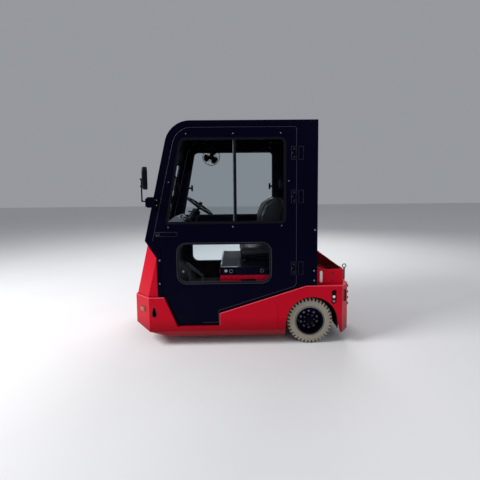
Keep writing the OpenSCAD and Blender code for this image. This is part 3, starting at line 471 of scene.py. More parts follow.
def new_group(name, inputs, output):
    tree = bpy.data.node_groups.new(name, "ShaderNodeTree")
    for label, default in inputs.items():
        kind = "NodeSocketVector" if default is None else "NodeSocketFloat"
        socket = tree.interface.new_socket(name=label, in_out="INPUT", socket_type=kind)
        if default is not None:
            socket.default_value = default
    tree.interface.new_socket(name=output, in_out="OUTPUT", socket_type="NodeSocketFloat")
    return tree, tree.nodes.new("NodeGroupInput").outputs, tree.nodes.new("NodeGroupOutput").inputs[0]


def grain_group():
    """Fine bumps of mouldings, vinyl and coats: cells and noise as one height."""
    tree, given, out = new_group("Surface grain", {"Vector": None, "Scale": 400.0, "Cells": 0.5}, "Height")
    fine = cloud(tree, given["Vector"], given["Scale"], 4.0)
    cells = add(tree, "ShaderNodeTexVoronoi", {"Vector": given["Vector"], "Scale": given["Scale"]})
    mix = add(tree, "ShaderNodeMix", {0: given["Cells"], 2: fine, 3: cells.outputs["Distance"]})
    tree.links.new(mix.outputs[0], out)
    return tree


def dust_group():
    """Road dust: cloudy, thicker low down and on upward faces."""
    tree, given, out = new_group("Road dust", {"Vector": None, "Amount": 0.3, "Reach": 0.7}, "Mask")
    fall = ranged(tree, height_of(tree, given["Vector"]), 0.0, given["Reach"], 1.0, 0.10)
    upward = height_of(tree, add(tree, "ShaderNodeNewGeometry").outputs["Normal"])
    settled = worked(tree, "MAXIMUM", fall, ranged(tree, upward, 0.3, 1.0, 0.0, 0.40))
    patches = ranged(tree, cloud(tree, given["Vector"], 6.0, 8.0, 0.65), 0.38, 0.72, 0.15, 1.0)
    shaped = worked(tree, "MULTIPLY", settled, patches)
    tree.links.new(worked(tree, "MULTIPLY", shaped, given["Amount"], clamp=True), out)
    return tree


def scuff_group():
    """Thin scuffs and rub marks: stretched noise, kept to a few patches."""
    tree, given, out = new_group("Scuffs", {"Vector": None, "Amount": 0.3}, "Mask")
    stretch = add(tree, "ShaderNodeMapping", {"Vector": given["Vector"], "Scale": (7.0, 7.0, 160.0),
                                              "Rotation": (0.2, 0.35, 0.1)})
    lines = ranged(tree, cloud(tree, stretch.outputs[0], 3.0, 3.0), 0.66, 0.74)
    patches = ranged(tree, cloud(tree, given["Vector"], 4.0, 2.0), 0.5, 0.65)
    marks = worked(tree, "MULTIPLY", lines, patches)
    tree.links.new(worked(tree, "MULTIPLY", marks, given["Amount"], clamp=True), out)
    return tree


GROUPS = {}
DUST = (0.30, 0.27, 0.235, 1.0)
# Finish: colour and second colour, then roughness, metallic, coat and gloss level, then the grain's scale,
# share of cells and bump, then dust and scuffs
COATS = {
    "Red body paint": ((0.55, 0.0008, 0.016), (0.48, 0.0008, 0.014),
                       0.32, 0.0, 0.04, 0.22, 260, 0.1, 0.02, 0.015, 0.10),
    "Black cab paint": ((0.0008, 0.0007, 0.0050), (0.0015, 0.0014, 0.0068),
                        0.33, 0.0, 0.0, 0.07, 320, 0.2, 0.03, 0.01, 0.04),
    "Dark chassis paint": ((0.004, 0.004, 0.007), (0.007, 0.007, 0.011),
                           0.55, 0.0, 0.0, 0.14, 300, 0.3, 0.08, 0.03, 0.12),
    "Black moulding": ((0.0020, 0.0020, 0.0045), (0.004, 0.004, 0.007),
                       0.46, 0.0, 0.0, 0.11, 900, 0.6, 0.12, 0.012, 0.04),
    # Light pink for the rolled edges: a painted highlight where the red edges catch the light.
    "Worn red edge": ((0.85, 0.22, 0.27), (0.74, 0.10, 0.15),
                      0.30, 0.0, 0.3, 0.5, 260, 0.1, 0.02, 0.02, 0.10),
    "Dark steel": ((0.020, 0.020, 0.024), (0.034, 0.032, 0.032),
                   0.40, 0.7, 0.0, 0.4, 420, 0.1, 0.04, 0.1, 0.3),
    "Grey moulding": ((0.16, 0.17, 0.195), (0.18, 0.195, 0.22),
                      0.42, 0.0, 0.0, 0.5, 900, 0.6, 0.10, 0.10, 0.1),
    "Black rubber": ((0.0018, 0.0018, 0.0035), (0.0035, 0.0035, 0.0055),
                     0.66, 0.0, 0.0, 0.10, 500, 0.3, 0.10, 0.04, 0.05),
    # Grey for thin lines on black edges, beads and seal lips: painted highlights.
    "Grey window seal": ((0.040, 0.044, 0.066), (0.055, 0.060, 0.085),
                         0.50, 0.0, 0.0, 0.35, 500, 0.2, 0.06, 0.05, 0.1),
    "Display glass": ((0.010, 0.014, 0.016), (0.014, 0.020, 0.022),
                      0.10, 0.0, 0.3, 0.5, 60, 0.1, 0.01, 0.03, 0.1),
    "Plated steel": ((0.60, 0.61, 0.64), (0.48, 0.48, 0.51),
                     0.28, 1.0, 0.0, 0.5, 420, 0.1, 0.04, 0.08, 0.3),
    "Dull steel": ((0.30, 0.30, 0.31), (0.20, 0.18, 0.17),
                   0.45, 1.0, 0.0, 0.5, 350, 0.2, 0.08, 0.2, 0.4),
    "Battery case": ((0.018, 0.018, 0.020), (0.026, 0.026, 0.026),
                     0.42, 0.0, 0.0, 0.4, 700, 0.4, 0.06, 0.3, 0.2),
    "White plastic": ((0.80, 0.80, 0.77), (0.70, 0.70, 0.67),
                      0.36, 0.0, 0.0, 0.5, 700, 0.3, 0.04, 0.05, 0.1),
    "Brushed aluminium": ((0.36, 0.38, 0.42), (0.30, 0.32, 0.36),
                          0.38, 0.9, 0.0, 0.5, 600, 0.1, 0.04, 0.05, 0.2),
}


def new_material(name):
    material = bpy.data.materials.new(name)
    material.use_nodes = True
    tree = material.node_tree
    MADE[name] = material
    return tree, tree.nodes["Principled BSDF"], add(tree, "ShaderNodeTexCoord").outputs["Object"]


def effect(tree, kind, place, **values):
    """One of the shared effects, placed in a material."""
    group = add(tree, "ShaderNodeGroup", node_tree=GROUPS[kind])
    tree.links.new(place, group.inputs["Vector"])
    for key, value in values.items():
        group.inputs[key].default_value = value
    return group.outputs[0]


def blend_colour(tree, amount, first, second):
    return add(tree, "ShaderNodeMix", {0: amount, 6: first, 7: second}, data_type="RGBA").outputs[2]


def raise_by(tree, shader, height, strength):
    bump = add(tree, "ShaderNodeBump", {"Height": height, "Strength": strength, "Distance": 0.002})
    tree.links.new(bump.outputs["Normal"], shader.inputs["Normal"])


def coat_material(name, row, chosen=None):
    first, second, rough, metal, coat, gloss, scale, cells, bump, dust, scuff = row
    if chosen:
        first, second = tuple(chosen), tuple(c * second[2] / first[2] for c in chosen)
    tree, shader, place = new_material(name)
    colour = blend_colour(tree, cloud(tree, place, 2.5, 5.0), (*first, 1), (*second, 1))
    # Every coat is darker towards the ground, below 0.27 m: painted shade under the tug.
    ground_shade = ranged(tree, height_of(tree, place), 0.14, 0.27, 0.75, 0.0)
    colour = blend_colour(tree, ground_shade, colour, (*[c * 0.30 for c in first], 1))
    dirt = effect(tree, "dust", place, Amount=dust)
    marks = effect(tree, "scuff", place, Amount=scuff)
    rubbed = [min(1.0, c * 1.5 + 0.015) for c in second]
    scuffed = blend_colour(tree, marks, colour, (*rubbed, 1))
    tree.links.new(blend_colour(tree, dirt, scuffed, DUST), shader.inputs["Base Color"])
    sheen = ranged(tree, worked(tree, "ADD", dirt, marks), 0.0, 1.0, rough, min(0.95, rough + 0.4))
    tree.links.new(sheen, shader.inputs["Roughness"])
    shader.inputs["Metallic"].default_value = metal
    shader.inputs["Coat Weight"].default_value = coat
    shader.inputs["Coat Roughness"].default_value = 0.12
    shader.inputs["Specular IOR Level"].default_value = gloss
    if not metal:
        shader.inputs["Specular Tint"].default_value = (*[0.2 + 0.8 * c / max(first) for c in first], 1)
    raise_by(tree, shader, effect(tree, "grain", place, Scale=scale, Cells=cells), bump)


def trim_material(seal):
    """Door trim: black round the sliding window, dark grey rubber round the lower window."""
    tree, shader, place = new_material("Door trim")
    upper = worked(tree, "GREATER_THAN", height_of(tree, place), TRIM_CHANGE)
    tone = cloud(tree, place, 9.0, 4.0)
    grey = blend_colour(tree, tone, (*[c * 0.04 for c in seal], 1), (*[c * 0.07 for c in seal], 1))
    black = blend_colour(tree, tone, (0.002, 0.002, 0.006, 1), (0.004, 0.004, 0.009, 1))
    tree.links.new(blend_colour(tree, upper, grey, black), shader.inputs["Base Color"])
    tree.links.new(ranged(tree, tone, 0.0, 1.0, 0.42, 0.58), shader.inputs["Roughness"])
    shader.inputs["Specular IOR Level"].default_value = 0.12
    raise_by(tree, shader, effect(tree, "grain", place, Scale=500, Cells=0.2), 0.06)


def clear_material(name, colour, rough, bend):
    """Glass, which lets light and shadows through."""
    tree, shader, place = new_material(name)
    shader.inputs["Base Color"].default_value = (*colour, 1)
    shader.inputs["Transmission Weight"].default_value = 1.0
    shader.inputs["IOR"].default_value = bend
    haze = ranged(tree, cloud(tree, place, 9.0, 6.0), 0.35, 0.75, rough, rough + 0.01)
    tree.links.new(haze, shader.inputs["Roughness"])
    through = add(tree, "ShaderNodeBsdfTransparent", {"Color": (*colour, 1)})
    path = add(tree, "ShaderNodeLightPath")
    free = path.outputs["Is Shadow Ray"]
    for kind in ("Is Diffuse Ray", "Is Glossy Ray"):
        free = worked(tree, "MAXIMUM", free, path.outputs[kind])
    mix = add(tree, "ShaderNodeMixShader", {0: free, 1: shader.outputs[0], 2: through.outputs[0]})
    tree.links.new(mix.outputs[0], tree.nodes["Material Output"].inputs["Surface"])


def tyre_material(rubber):
    """Pale non-marking rubber with cloudy stains and scuffs; the dark between the lugs is painted shade, a
    black ring built with the tyre.
    """
    tree, shader, place = new_material("Pale tyre rubber")
    stained = (*[c * 0.67 for c in rubber], 1)
    colour = blend_colour(tree, cloud(tree, place, 14.0, 9.0, 0.7), (*rubber, 1), stained)
    marks = effect(tree, "scuff", place, Amount=0.7)
    tree.links.new(blend_colour(tree, marks, colour, (0.08, 0.075, 0.07, 1)), shader.inputs["Base Color"])
    shader.inputs["Roughness"].default_value = 0.78
    raise_by(tree, shader, effect(tree, "grain", place, Scale=220, Cells=0.4), 0.25)


def vinyl_material(vinyl):
    """Black seat vinyl: pebbled grain with soft wear."""
    tree, shader, place = new_material("Black seat vinyl")
    tone = cloud(tree, place, 5.0, 6.0)
    worn = (*[c * 1.9 for c in vinyl], 1)
    tree.links.new(blend_colour(tree, tone, (*vinyl, 1), worn), shader.inputs["Base Color"])
    tree.links.new(ranged(tree, tone, 0.3, 0.7, 0.34, 0.50), shader.inputs["Roughness"])
    pebble = add(tree, "ShaderNodeTexVoronoi", {"Vector": place, "Scale": 420.0}, feature="SMOOTH_F1")
    creases = effect(tree, "grain", place, Scale=90)
    raise_by(tree, shader, worked(tree, "ADD", pebble.outputs["Distance"], creases), 0.22)


def lens_material(name, colour, deep, rough):
    """A moulded lamp lens with fine ribs."""
    tree, shader, place = new_material(name)
    ribs = add(tree, "ShaderNodeTexWave", {"Vector": place, "Scale": 45.0, "Distortion": 0.3},
               bands_direction="Z").outputs["Fac"]
    tree.links.new(blend_colour(tree, ribs, (*colour, 1), (*deep, 1)), shader.inputs["Base Color"])
    shader.inputs["Roughness"].default_value = rough
    shader.inputs["Coat Weight"].default_value = 0.6
    raise_by(tree, shader, ribs, 0.35)


def mirror_material():
    tree, shader, place = new_material("Mirror glass")
    haze = ranged(tree, cloud(tree, place, 20.0, 5.0), 0.4, 0.8, 0.02, 0.09)
    tree.links.new(haze, shader.inputs["Roughness"])
    shader.inputs["Base Color"].default_value = (0.16, 0.17, 0.20, 1)
    shader.inputs["Metallic"].default_value = 1.0


NODE_FINISH = {
    "Red body paint": "lower_shell belly_pan rear_fenders rear_plate frame_rails nose_cowl battery_bay"
                      " load_tray",
    "Dark chassis paint": "wheel_wells floor_pan bulkhead tow_coupler drive_axle steer_mount steer_fork"
                          " tow_pin",
    "Black cab paint": "cab_sides cab_front_frame cab_roof cab_rear_wall mirror_arms hinge_leaves"
                       " battery_hood door_panel_left door_panel_right door_fittings_left"
                       " door_fittings_right front_rim rear_rim_left rear_rim_right",
    "Black moulding": "steering_column inching_switches wiper cab_fan mirror_heads steering_wheel",
    "Battery case": "battery",
    "Grey moulding": "dashboard pedals",
    "Headlamp lens": "headlamps",
    "Amber lens": "corner_lamps",
    "Red lens": "tail_lamps",
    "Window glass": "cab_glass door_glass_left door_glass_right",
    "Door trim": "door_trim_left door_trim_right",
    "Black seat vinyl": "seat_cushion seat_back",
    "Pale tyre rubber": "front_tyre rear_tyre_left rear_tyre_right",
}


# What a user may change

def length(name, about, default, least=0.0, most=2.0):
    return bpy.props.FloatProperty(name=name, description=about, default=default, min=least, max=most,
                                   unit="LENGTH", precision=4)


def colour(name, about, default):
    return bpy.props.FloatVectorProperty(name=name, description=about, default=default, size=3, min=0.0,
                                         max=1.0, subtype="COLOR")


class TUG_PG_colours(bpy.types.PropertyGroup):
    body: colour("Body", "Paint of the chassis, nose and tray", (0.55, 0.0008, 0.016))
    cab: colour("Cab", "Paint of the cab, doors and wheels", (0.0008, 0.0007, 0.0050))
    tyre: colour("Tyres", "Rubber of all three tyres", (0.36, 0.325, 0.26))
    seat: colour("Seat", "Vinyl of the seat", (0.0045, 0.0048, 0.0095))
    seal: colour("Lower window seal", "Bead round the doors' lower windows", (0.040, 0.044, 0.066))
    floor: colour("Floor", "Studio floor", (0.72, 0.72, 0.73))


class TUG_PG_sizes(bpy.types.PropertyGroup):
    lug_height: length("Lug height", "How far a tread lug stands out of the tyre", 0.014, 0.002, 0.02)
    lug_share: bpy.props.FloatProperty(name="Lug share", description="Part of the pitch that a lug fills",
                                       default=0.50, min=0.3, max=0.9, subtype="FACTOR")
    lugs: bpy.props.IntProperty(name="Lugs", description="Lugs on each shoulder of a tyre", default=36,
                                min=12, max=60)
    wheel_bolts: bpy.props.IntProperty(name="Wheel bolts", description="Bolts in a rim's outer ring",
                                       default=10, min=4, max=16)
    piping: length("Piping", "Radius of the cord sewn round the seat's pads", 0.0032, 0.001, 0.008)
    pad_gap: length("Pad gap", "Gap between a pad and its bolster before they swell", 0.006, 0.002, 0.02)
    pad_swell: length("Pad swell", "The furthest that a pad's skin may swell", 0.011, 0.0, 0.03)
    seal_lip: length("Seal lip", "Width of the rubber lip on a pane", 0.006, 0.002, 0.02)
    screw_radius: length("Screw radius", "Radius of the screw heads round the windows", 0.0062, 0.003, 0.02)
    guard_wire: length("Guard wire", "Radius of the wires of the fan's guard", 0.0009, 0.0005, 0.004)


# Wheels

WHEELS = (("front_tyre", "front_rim", "front_wheel", 1),
          ("rear_tyre_left", "rear_rim_left", "rear_wheel_left", 1),
          ("rear_tyre_right", "rear_rim_right", "rear_wheel_right", -1))
# A rear rim's radius, and half the width between the front rim's beads
REAR_SEAT = 0.136
FRONT_HALF = 0.0475


class TUG_OT_tyres(bpy.types.Operator):
    """Lugged tyres in place of the plain ones"""
    bl_idname = "tug.tyres"
    bl_label = "Tyres"

    def execute(self, context):
        sizes = context.scene.tug_sizes
        for node, rim, body, _ in WHEELS:
            reach = (high(node).z - low(node).z) / 2
            seat = (high(rim).z - low(rim).z) / 2
            half = (high(node).y - low(node).y) / 2
            tread = reach - sizes.lug_height
            flank = [(seat - 0.0175, half - 0.016), (seat, half - 0.011), (seat + 0.004, half - 0.003),
                     (seat + 0.010, half - 0.001), (seat + 0.017, half - 0.0005),
                     (seat + 0.019, half - 0.0022), (seat + 0.023, half - 0.0022),
                     (seat + 0.025, half - 0.0005), (reach - 0.034, half - 0.001),
                     (reach - 0.024, half - 0.006), (tread, half - 0.019)]
            profile = [(r, -t) for r, t in flank] + [(r, t) for r, t in reversed(flank)]
            carcass = lathe(profile + profile[:1], ORIGIN, "Y", 96)
            pitch = 2 * math.pi / sizes.lugs
            width = reach * pitch * sizes.lug_share
            crown = reach - 0.0007 - width ** 2 / (8 * reach)
            section = ((0.003, tread - 0.004), (0.006, crown), (half - 0.016, crown),
                       (half - 0.006, crown - 0.008), (half - 0.0007, crown - 0.024),
                       (half - 0.004, crown - 0.031), (half - 0.022, tread - 0.006))
            lug = plate(on_end(section, -width / 2), (width, 0, 0), 0.0018, 1)
            row = around(lug, sizes.lugs, "Y", ORIGIN)
            other = turned(mirrored(row), pitch / 2, "Y", ORIGIN)
            tyre = placed(joined([carcass, row, other]), Matrix.Translation(middle(node)))
            finish(tyre, "tyre_" + body, "Pale tyre rubber", body, replaces=[node])
            # A near-black ring at the foot of the lugs: painted shade in the grooves between them.
            floor = [(reach - 0.026, half - 0.0050), (reach - 0.023, half - 0.0057),
                     (tread + 0.001, half - 0.0183)]
            under = [(tread - 0.002, half - 0.0205), (reach - 0.026, half - 0.0080)]
            ring = [(r, -t) for r, t in floor] + [(r, t) for r, t in reversed(floor)]
            ring += [(r, t) for r, t in reversed(under)] + [(r, -t) for r, t in under]
            dark = lathe(ring + ring[:1], middle(node), "Y", 96)
            finish(dark, "tread_floor_" + body, "Black rubber", body)
        return {"FINISHED"}


class TUG_OT_rims(bpy.types.Operator):
    """Rim beads, wheel bolts, hub caps and valves"""
    bl_idname = "tug.rims"
    bl_label = "Rims"

    def execute(self, context):
        sizes = context.scene.tug_sizes
        for node, rim, body, side in WHEELS:
            centre = middle(node)
            seat = (high(rim).z - low(rim).z) / 2
            half = FRONT_HALF if node == "front_tyre" else (high(rim).y - low(rim).y) / 2
            out = Vector((0, side, 0))
            edges = [hoop(centre + out * s * (half + 0.0005), seat - 0.004, 0.0048, LEFT, 96) for s in SIDES]
            finish(joined(edges), "rim_beads_" + body, "Dull steel", body)
            outer = bolt(centre + out * 0.008 + UP * 0.080, out, 0.0062, 0.0075)
            outer = around(outer, sizes.wheel_bolts, "Y", centre)
            parts = [outer]
            if node != "front_tyre":
                inner = bolt(centre + out * 0.016 + UP * 0.047, out, 0.0040, 0.0055)
                parts.append(around(inner, 7, "Y", centre, 0.2))
                cap = lathe([(0, 0.036), (0.016, 0.0352), (0.029, 0.0325), (0.036, 0.029), (0.038, 0.0275)],
                            ORIGIN, "Y", 48)
                nut = bolt((0, 0.0345, 0), LEFT, 0.010, 0.008)
                cap = placed(facing(joined([cap, nut]), side), Matrix.Translation(centre))
                finish(cap, "hub_cap_" + body, "Black cab paint", body)
            finish(joined(parts), "wheel_bolts_" + body, "Dull steel", body)
            forward = Vector((seat / REAR_SEAT, 0, 0))
            valve = rod(centre + out * (half - 0.030) + forward * 0.104,
                        centre + out * (half - 0.012) + forward * 0.106, 0.0035, 12, 0.003)
            finish(valve, "valve_" + body, "Brushed aluminium", body)
        return {"FINISHED"}


# Seat

FILLING_FRAMES = 20
# Half the width of the middle pads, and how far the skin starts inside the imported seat
PAD_HALF = 0.150
SKIN_INSET = 0.009


def stuffed(obj, swell, reach):
    """Swells a closed shape with the cloth solver, as a filled pad does, each point kept near its start."""
    modify(obj, "REMESH", mode="VOXEL", voxel_size=0.0078)
    start = [v.co.copy() for v in obj.data.vertices]
    only(obj)
    cloth = obj.modifiers.new("filling", "CLOTH")
    cloth.settings.use_pressure = True
    cloth.settings.uniform_pressure_force = 4.0
    cloth.settings.effector_weights.gravity = 0.0
    cloth.point_cache.frame_start = 1
    cloth.point_cache.frame_end = FILLING_FRAMES
    for frame_now in range(1, FILLING_FRAMES + 1):
        bpy.context.scene.frame_set(frame_now)
    bpy.ops.object.modifier_apply(modifier=cloth.name)
    bpy.context.scene.frame_set(1)
    for vertex, place in zip(obj.data.vertices, start):
        moved = vertex.co - place
        if moved.length > swell:
            vertex.co = place + moved.normalized() * swell
    least, most = reach
    for vertex in obj.data.vertices:
        vertex.co = Vector(min(max(c, a), b) for c, a, b in zip(vertex.co, least, most))
    return modify(obj, "SUBSURF", levels=1, render_levels=1)


def pad(outline, y0, y1, swell, reach, edge=0.022):
    """One filled pad between two planes across the tug, from its outline along and up."""
    obj = plate(on_side(outline, y0), (0, y1 - y0, 0), edge, 3)
    return stuffed(obj, swell, reach)


def seam(outline, y, radius):
    """A sewn cord that follows an outline."""
    return tube(on_side(outline, y), radius, 12, 3, closed=True)


def shrunk(points, by):
    """An outline in two measures moved inwards, evenly at each point."""
    moved = []
    count = len(points)
    turn = sum(points[k - 1][0] * points[k][1] - points[k][0] * points[k - 1][1] for k in range(count))
    for k in range(count):
        way = (Vector(points[(k + 1) % count]) - Vector(points[k - 1])).normalized()
        inward = Vector((-way.y, way.x)) * (1 if turn > 0 else -1)
        moved.append(Vector(points[k]) + inward * by)
    return moved


class TUG_OT_seat(bpy.types.Operator):
    """Padded cushion and backrest with bolsters, piping and the pan they stand on"""
    bl_idname = "tug.seat"
    bl_label = "Seat"

    def execute(self, context):
        sizes = context.scene.tug_sizes
        swell, cord, half_gap, inset = sizes.pad_swell, sizes.piping, sizes.pad_gap / 2, SKIN_INSET
        base, top = low("seat_cushion"), high("seat_cushion")
        under = base.z + 0.052
        outline = rounded([(base.x + inset, under + inset), (base.x + inset, top.z - 0.044),
                           (base.x + 0.10, top.z - 0.036), (top.x - 0.10, top.z - 0.012),
                           (top.x - inset, top.z - 0.020), (top.x - inset, under + inset)],
                          [0.014, 0.022, 0.10, 0.10, 0.036, 0.022], 5)
        reach = (Vector((base.x, base.y, under)), top)
        hollow = [(x, z - 0.008 if z > under + 0.05 else z) for x, z in outline]
        parts = [pad(hollow, -PAD_HALF + half_gap, PAD_HALF - half_gap, swell, reach)]
        for y0, y1 in ((PAD_HALF + half_gap, top.y - inset), (base.y + inset, -PAD_HALF - half_gap)):
            parts.append(pad(outline, y0, y1, swell, reach))
        cushion = finish(joined(parts), "seat_cushion_pads", "Black seat vinyl", "battery_lid",
                         180, replaces=["seat_cushion"])

        floor, roof = low("seat_back"), high("seat_back")
        back = rounded([(floor.x + 0.015, floor.z + 0.030), (floor.x + 0.010, roof.z - 0.090),
                        (floor.x + 0.036, roof.z - 0.010), (floor.x + 0.112, roof.z - 0.009),
                        (floor.x + 0.217, roof.z - 0.078), (floor.x + 0.262, roof.z - 0.184),
                        (floor.x + 0.268, roof.z - 0.272), (floor.x + 0.246, floor.z + 0.055)],
                       [0.03, 0.055, 0.035, 0.055, 0.10, 0.10, 0.10, 0.04], 4)
        reach = (floor, roof)
        hollow = [(x - 0.012 if x > floor.x + 0.15 else x, z - 0.010 if z > roof.z - 0.10 else z)
                  for x, z in back]
        parts = [pad(hollow, -PAD_HALF + half_gap, PAD_HALF - half_gap, swell, reach)]
        for y0, y1 in ((PAD_HALF + half_gap, roof.y - inset), (floor.y + inset, -PAD_HALF - half_gap)):
            parts.append(pad(back, y0, y1, swell, reach))
        rest = finish(joined(parts), "seat_back_pads", "Black seat vinyl", "battery_lid",
                      180, replaces=["seat_back"])

        cords = [seam(shrunk(outline, 0.012), y, cord) for y in (top.y - 0.0125, base.y + 0.0125)]
        cords += [seam(shrunk(back, 0.014), y, cord) for y in (roof.y - 0.0125, floor.y + 0.0125)]
        finish(joined(cords), "seat_piping", "Black seat vinyl", "battery_lid", 60)

        pan = block((base.x + 0.035, -0.165, base.z + 0.001), (top.x - 0.065, 0.165, base.z + 0.030), 0.004)
        tray = block((base.x + 0.012, base.y + 0.020, base.z + 0.030),
                     (top.x - 0.020, top.y - 0.020, under + 0.012), 0.006)
        edit(tray, everything=False)
        pick(tray, lambda f: f.normal.z < -0.99)
        bpy.ops.mesh.inset(thickness=0.02, depth=-0.008)
        leave()
        finish(joined([pan, tray]), "seat_pan", "Black moulding", "battery_lid")
        rails = [block((base.x + 0.010, y - 0.018, base.z + 0.002),
                       (top.x - 0.040, y + 0.018, base.z + 0.012), 0.002) for y in (-0.135, 0.135)]
        lever = tube([(top.x - 0.075, -0.150, base.z + 0.020), (top.x - 0.035, -0.150, base.z + 0.022),
                      (top.x - 0.022, -0.130, base.z + 0.022), (top.x - 0.022, 0.0, base.z + 0.022)], 0.005)
        finish(joined(rails + [lever]), "seat_slides", "Dull steel", "battery_lid")

        behind = floor.x - 0.012
        half_loop = [(behind + 0.012, -0.150, base.z + 0.300), (behind - 0.006, -0.150, roof.z - 0.230),
                     (behind - 0.006, -0.135, roof.z - 0.130), (behind - 0.004, -0.10, roof.z - 0.095)]
        loop = tube(half_loop + [(x, -y, z) for x, y, z in reversed(half_loop)], 0.0045, 12, 5)
        pocket = plate(on_end(rectangle(-0.16, floor.z + 0.10, 0.16, roof.z - 0.15, 0.03), floor.x + 0.002),
                       (0.008, 0, 0), 0.002)
        finish(joined([loop, pocket]), "seat_back_shell", "Black moulding", "battery_lid")
        return {"FINISHED"}


# Windows

def window_corners():
    """The sliding window's opening in a door, along and up."""
    rear, top = low("door_trim_left").x, high("door_trim_left").z
    return [(rear, WINDOW_SILL), (rear, top),
            (WINDOW_FRONT - math.tan(WINDOW_LEAN) * (top - WINDOW_SILL), top), (WINDOW_FRONT, WINDOW_SILL)]


class TUG_OT_window_seals(bpy.types.Operator):
    """Rubber lips, frames and the meeting stile of the doors' windows"""
    bl_idname = "tug.window_seals"
    bl_label = "Window seals"

    def execute(self, context):
        lip = context.scene.tug_sizes.seal_lip
        trim_low, trim_high = low("door_trim_left"), high("door_trim_left")
        corners = window_corners()
        width = 0.020
        z0, z1 = WINDOW_SILL + width, trim_high.z - width
        opening = rounded(corners, [0.050, 0.060, 0.070, 0.030], 8)
        bead = rectangle(trim_low.x + 0.133, trim_low.z, 0.676, 0.967, 0.095, 10)

        def lip_on(outline, by, y, wide, thick, edge=0.0008):
            return band(on_side(shrunk(outline, by), y), wide, (0, thick, 0), edge)

        def upright(x0, y0, x1, y1, edge):
            return block((STILE_X + x0, GLASS_IN + y0, z0), (STILE_X + x1, GLASS_IN + y1, z1), edge)

        track = block((corners[0][0] + 0.03, GLASS_IN + 0.0010, z0 - 0.006),
                      (corners[3][0] - 0.03, GLASS_IN + 0.0025, z0 + 0.004))
        black = both(joined([lip_on(opening, 0.001, trim_high.y - 0.008, 0.0055, 0.0030),
                             lip_on(opening, width - 0.0005, GLASS_IN + 0.0118, lip, 0.0045),
                             lip_on(opening, 0.002, DOOR_IN - 0.003, 0.012, 0.005, 0.0015), track,
                             upright(-0.013, 0.0115, 0.009, 0.0195, 0.0015),
                             upright(-0.004, -0.004, 0.013, -0.0005, 0.001),
                             lip_on(bead, 0.001, DOOR_IN - 0.003, 0.015, 0.005, 0.0015)]))
        # The hold and lock lips are grey: painted highlights round the lower window.
        hold = lip_on(bead, 0.0195, GLASS_IN + 0.0118, lip * 0.4, 0.005)
        lock = lip_on(bead, 0.0035, trim_high.y - 0.0006, 0.0032, 0.0022, 0.0009)
        strip = upright(0.011, 0.0060, 0.018, 0.0078, 0.0005)
        grey = both(joined([hold, lock]))
        pale = both(strip)
        for body, side in DOORS:
            for obj, name, material in ((black, "window_rubbers", "Black rubber"),
                                        (grey, "lower_seal", "Grey window seal"),
                                        (pale, "stile_strip", "Grey moulding")):
                half = copied(obj)
                edit(half, "VERT", everything=False)
                pick(half, lambda v: v.co.y * side < 0, "verts")
                bpy.ops.mesh.delete(type="VERT")
                leave()
                finish(half, name + "_" + NAMES[side], material, body)
        for obj in (black, grey, pale):
            bpy.data.objects.remove(obj)
        return {"FINISHED"}


class TUG_OT_window_fittings(bpy.types.Operator):
    """Screws round the sliding windows and their sliding latches"""
    bl_idname = "tug.window_fittings"
    bl_label = "Window fittings"

    def execute(self, context):
        radius = context.scene.tug_sizes.screw_radius
        tall, front, top, sill = 0.0032, WINDOW_FRONT, high("door_trim_left").z + 0.031, WINDOW_SILL - 0.023
        over = [(front - 0.211, top), (0.148, top), (-0.280, top)]
        beside = [(-0.352, 1.516), (0.729, 1.514)]
        below = [(front - 0.033, sill - 0.002), (0.157, sill - 0.002), (-0.287, sill + 0.004)]
        # Each latch: its place along and up, how far its pane stands out and where its stem reaches
        latches = ((0.646, 1.473, 0, 0.036), (-0.276, 1.489, 0.006, -0.030))
        for body, side in DOORS:
            out = Vector((0, side, 0))
            heads = [screw((x, CAB_SIDE * side, z), out, radius, tall) for x, z in over + beside + below]
            heads += [screw((x, DOOR_IN * side, z), -out, radius, tall) for x, z in over + below]
            finish(joined(heads), "window_screws_" + NAMES[side], "Dull steel", body)
            parts = []
            for x, z, out_by, reach in latches:
                y = (GLASS_IN + out_by) * side
                hold = Vector((x, y - 0.014 * side, z))
                parts.append(block((x, y - 0.018 * side, z - 0.011), (x + reach, y, z + 0.011), 0.003))
                parts.append(rod(hold - UP * 0.036, hold + UP * 0.036, 0.0115, 16, edge=0.003))
            finish(joined(parts), "window_latches_" + NAMES[side], "Black moulding", body)
            if side > 0:
                hole = Vector((0.619, GLASS_IN, 0.697))
                catch = screw(hole + out * 0.0110, out, radius, 0.004)
                nut = bolt(hole + out * 0.0060, -out, radius, 0.008)
                finish(joined([catch, nut]), "lower_pane_bolt", "Plated steel", body)
        return {"FINISHED"}


class TUG_OT_screens(bpy.types.Operator):
    """Rubber seals of the windscreen and rear window"""
    bl_idname = "tug.screens"
    bl_label = "Screen seals"

    def execute(self, context):
        half = high("cab_glass").y
        face = Vector((math.cos(LEAN), 0, math.sin(LEAN)))
        outline = rectangle(-half, SCREEN_LOW, half, SCREEN_HIGH, 0.060, 8)
        outline = [Vector((screen_x(z), y, z)) for y, z in outline]
        outer = band([p + face * 0.0005 for p in outline], 0.016, face * 0.0045, 0.0015)
        bead = band([p + face * 0.0045 for p in outline], 0.006, face * 0.003, 0.0012)
        inner = band([p - face * 0.0210 for p in outline], 0.014, face * 0.0050, 0.0015)
        rear = rectangle(-0.380, 1.150, 0.380, 1.900, 0.060, 8)
        skin = low("cab_rear_wall").x
        back = band(on_end(rear, skin - 0.0045), 0.018, (0.0045, 0, 0), 0.0015)
        back_bead = band(on_end(shrunk(rear, 0.006), skin - 0.007), 0.006, (0.003, 0, 0), 0.0012)
        room = band(on_end(rear, high("cab_rear_wall").x), 0.018, (0.0045, 0, 0), 0.0015)
        finish(joined([outer, bead, inner, back, back_bead, room]), "screen_seals", "Black rubber", "chassis")
        return {"FINISHED"}


# Mirrors, fan and steering wheel

# How far the mirrors are turned in towards the driver
MIRROR_TOE = math.radians(13)


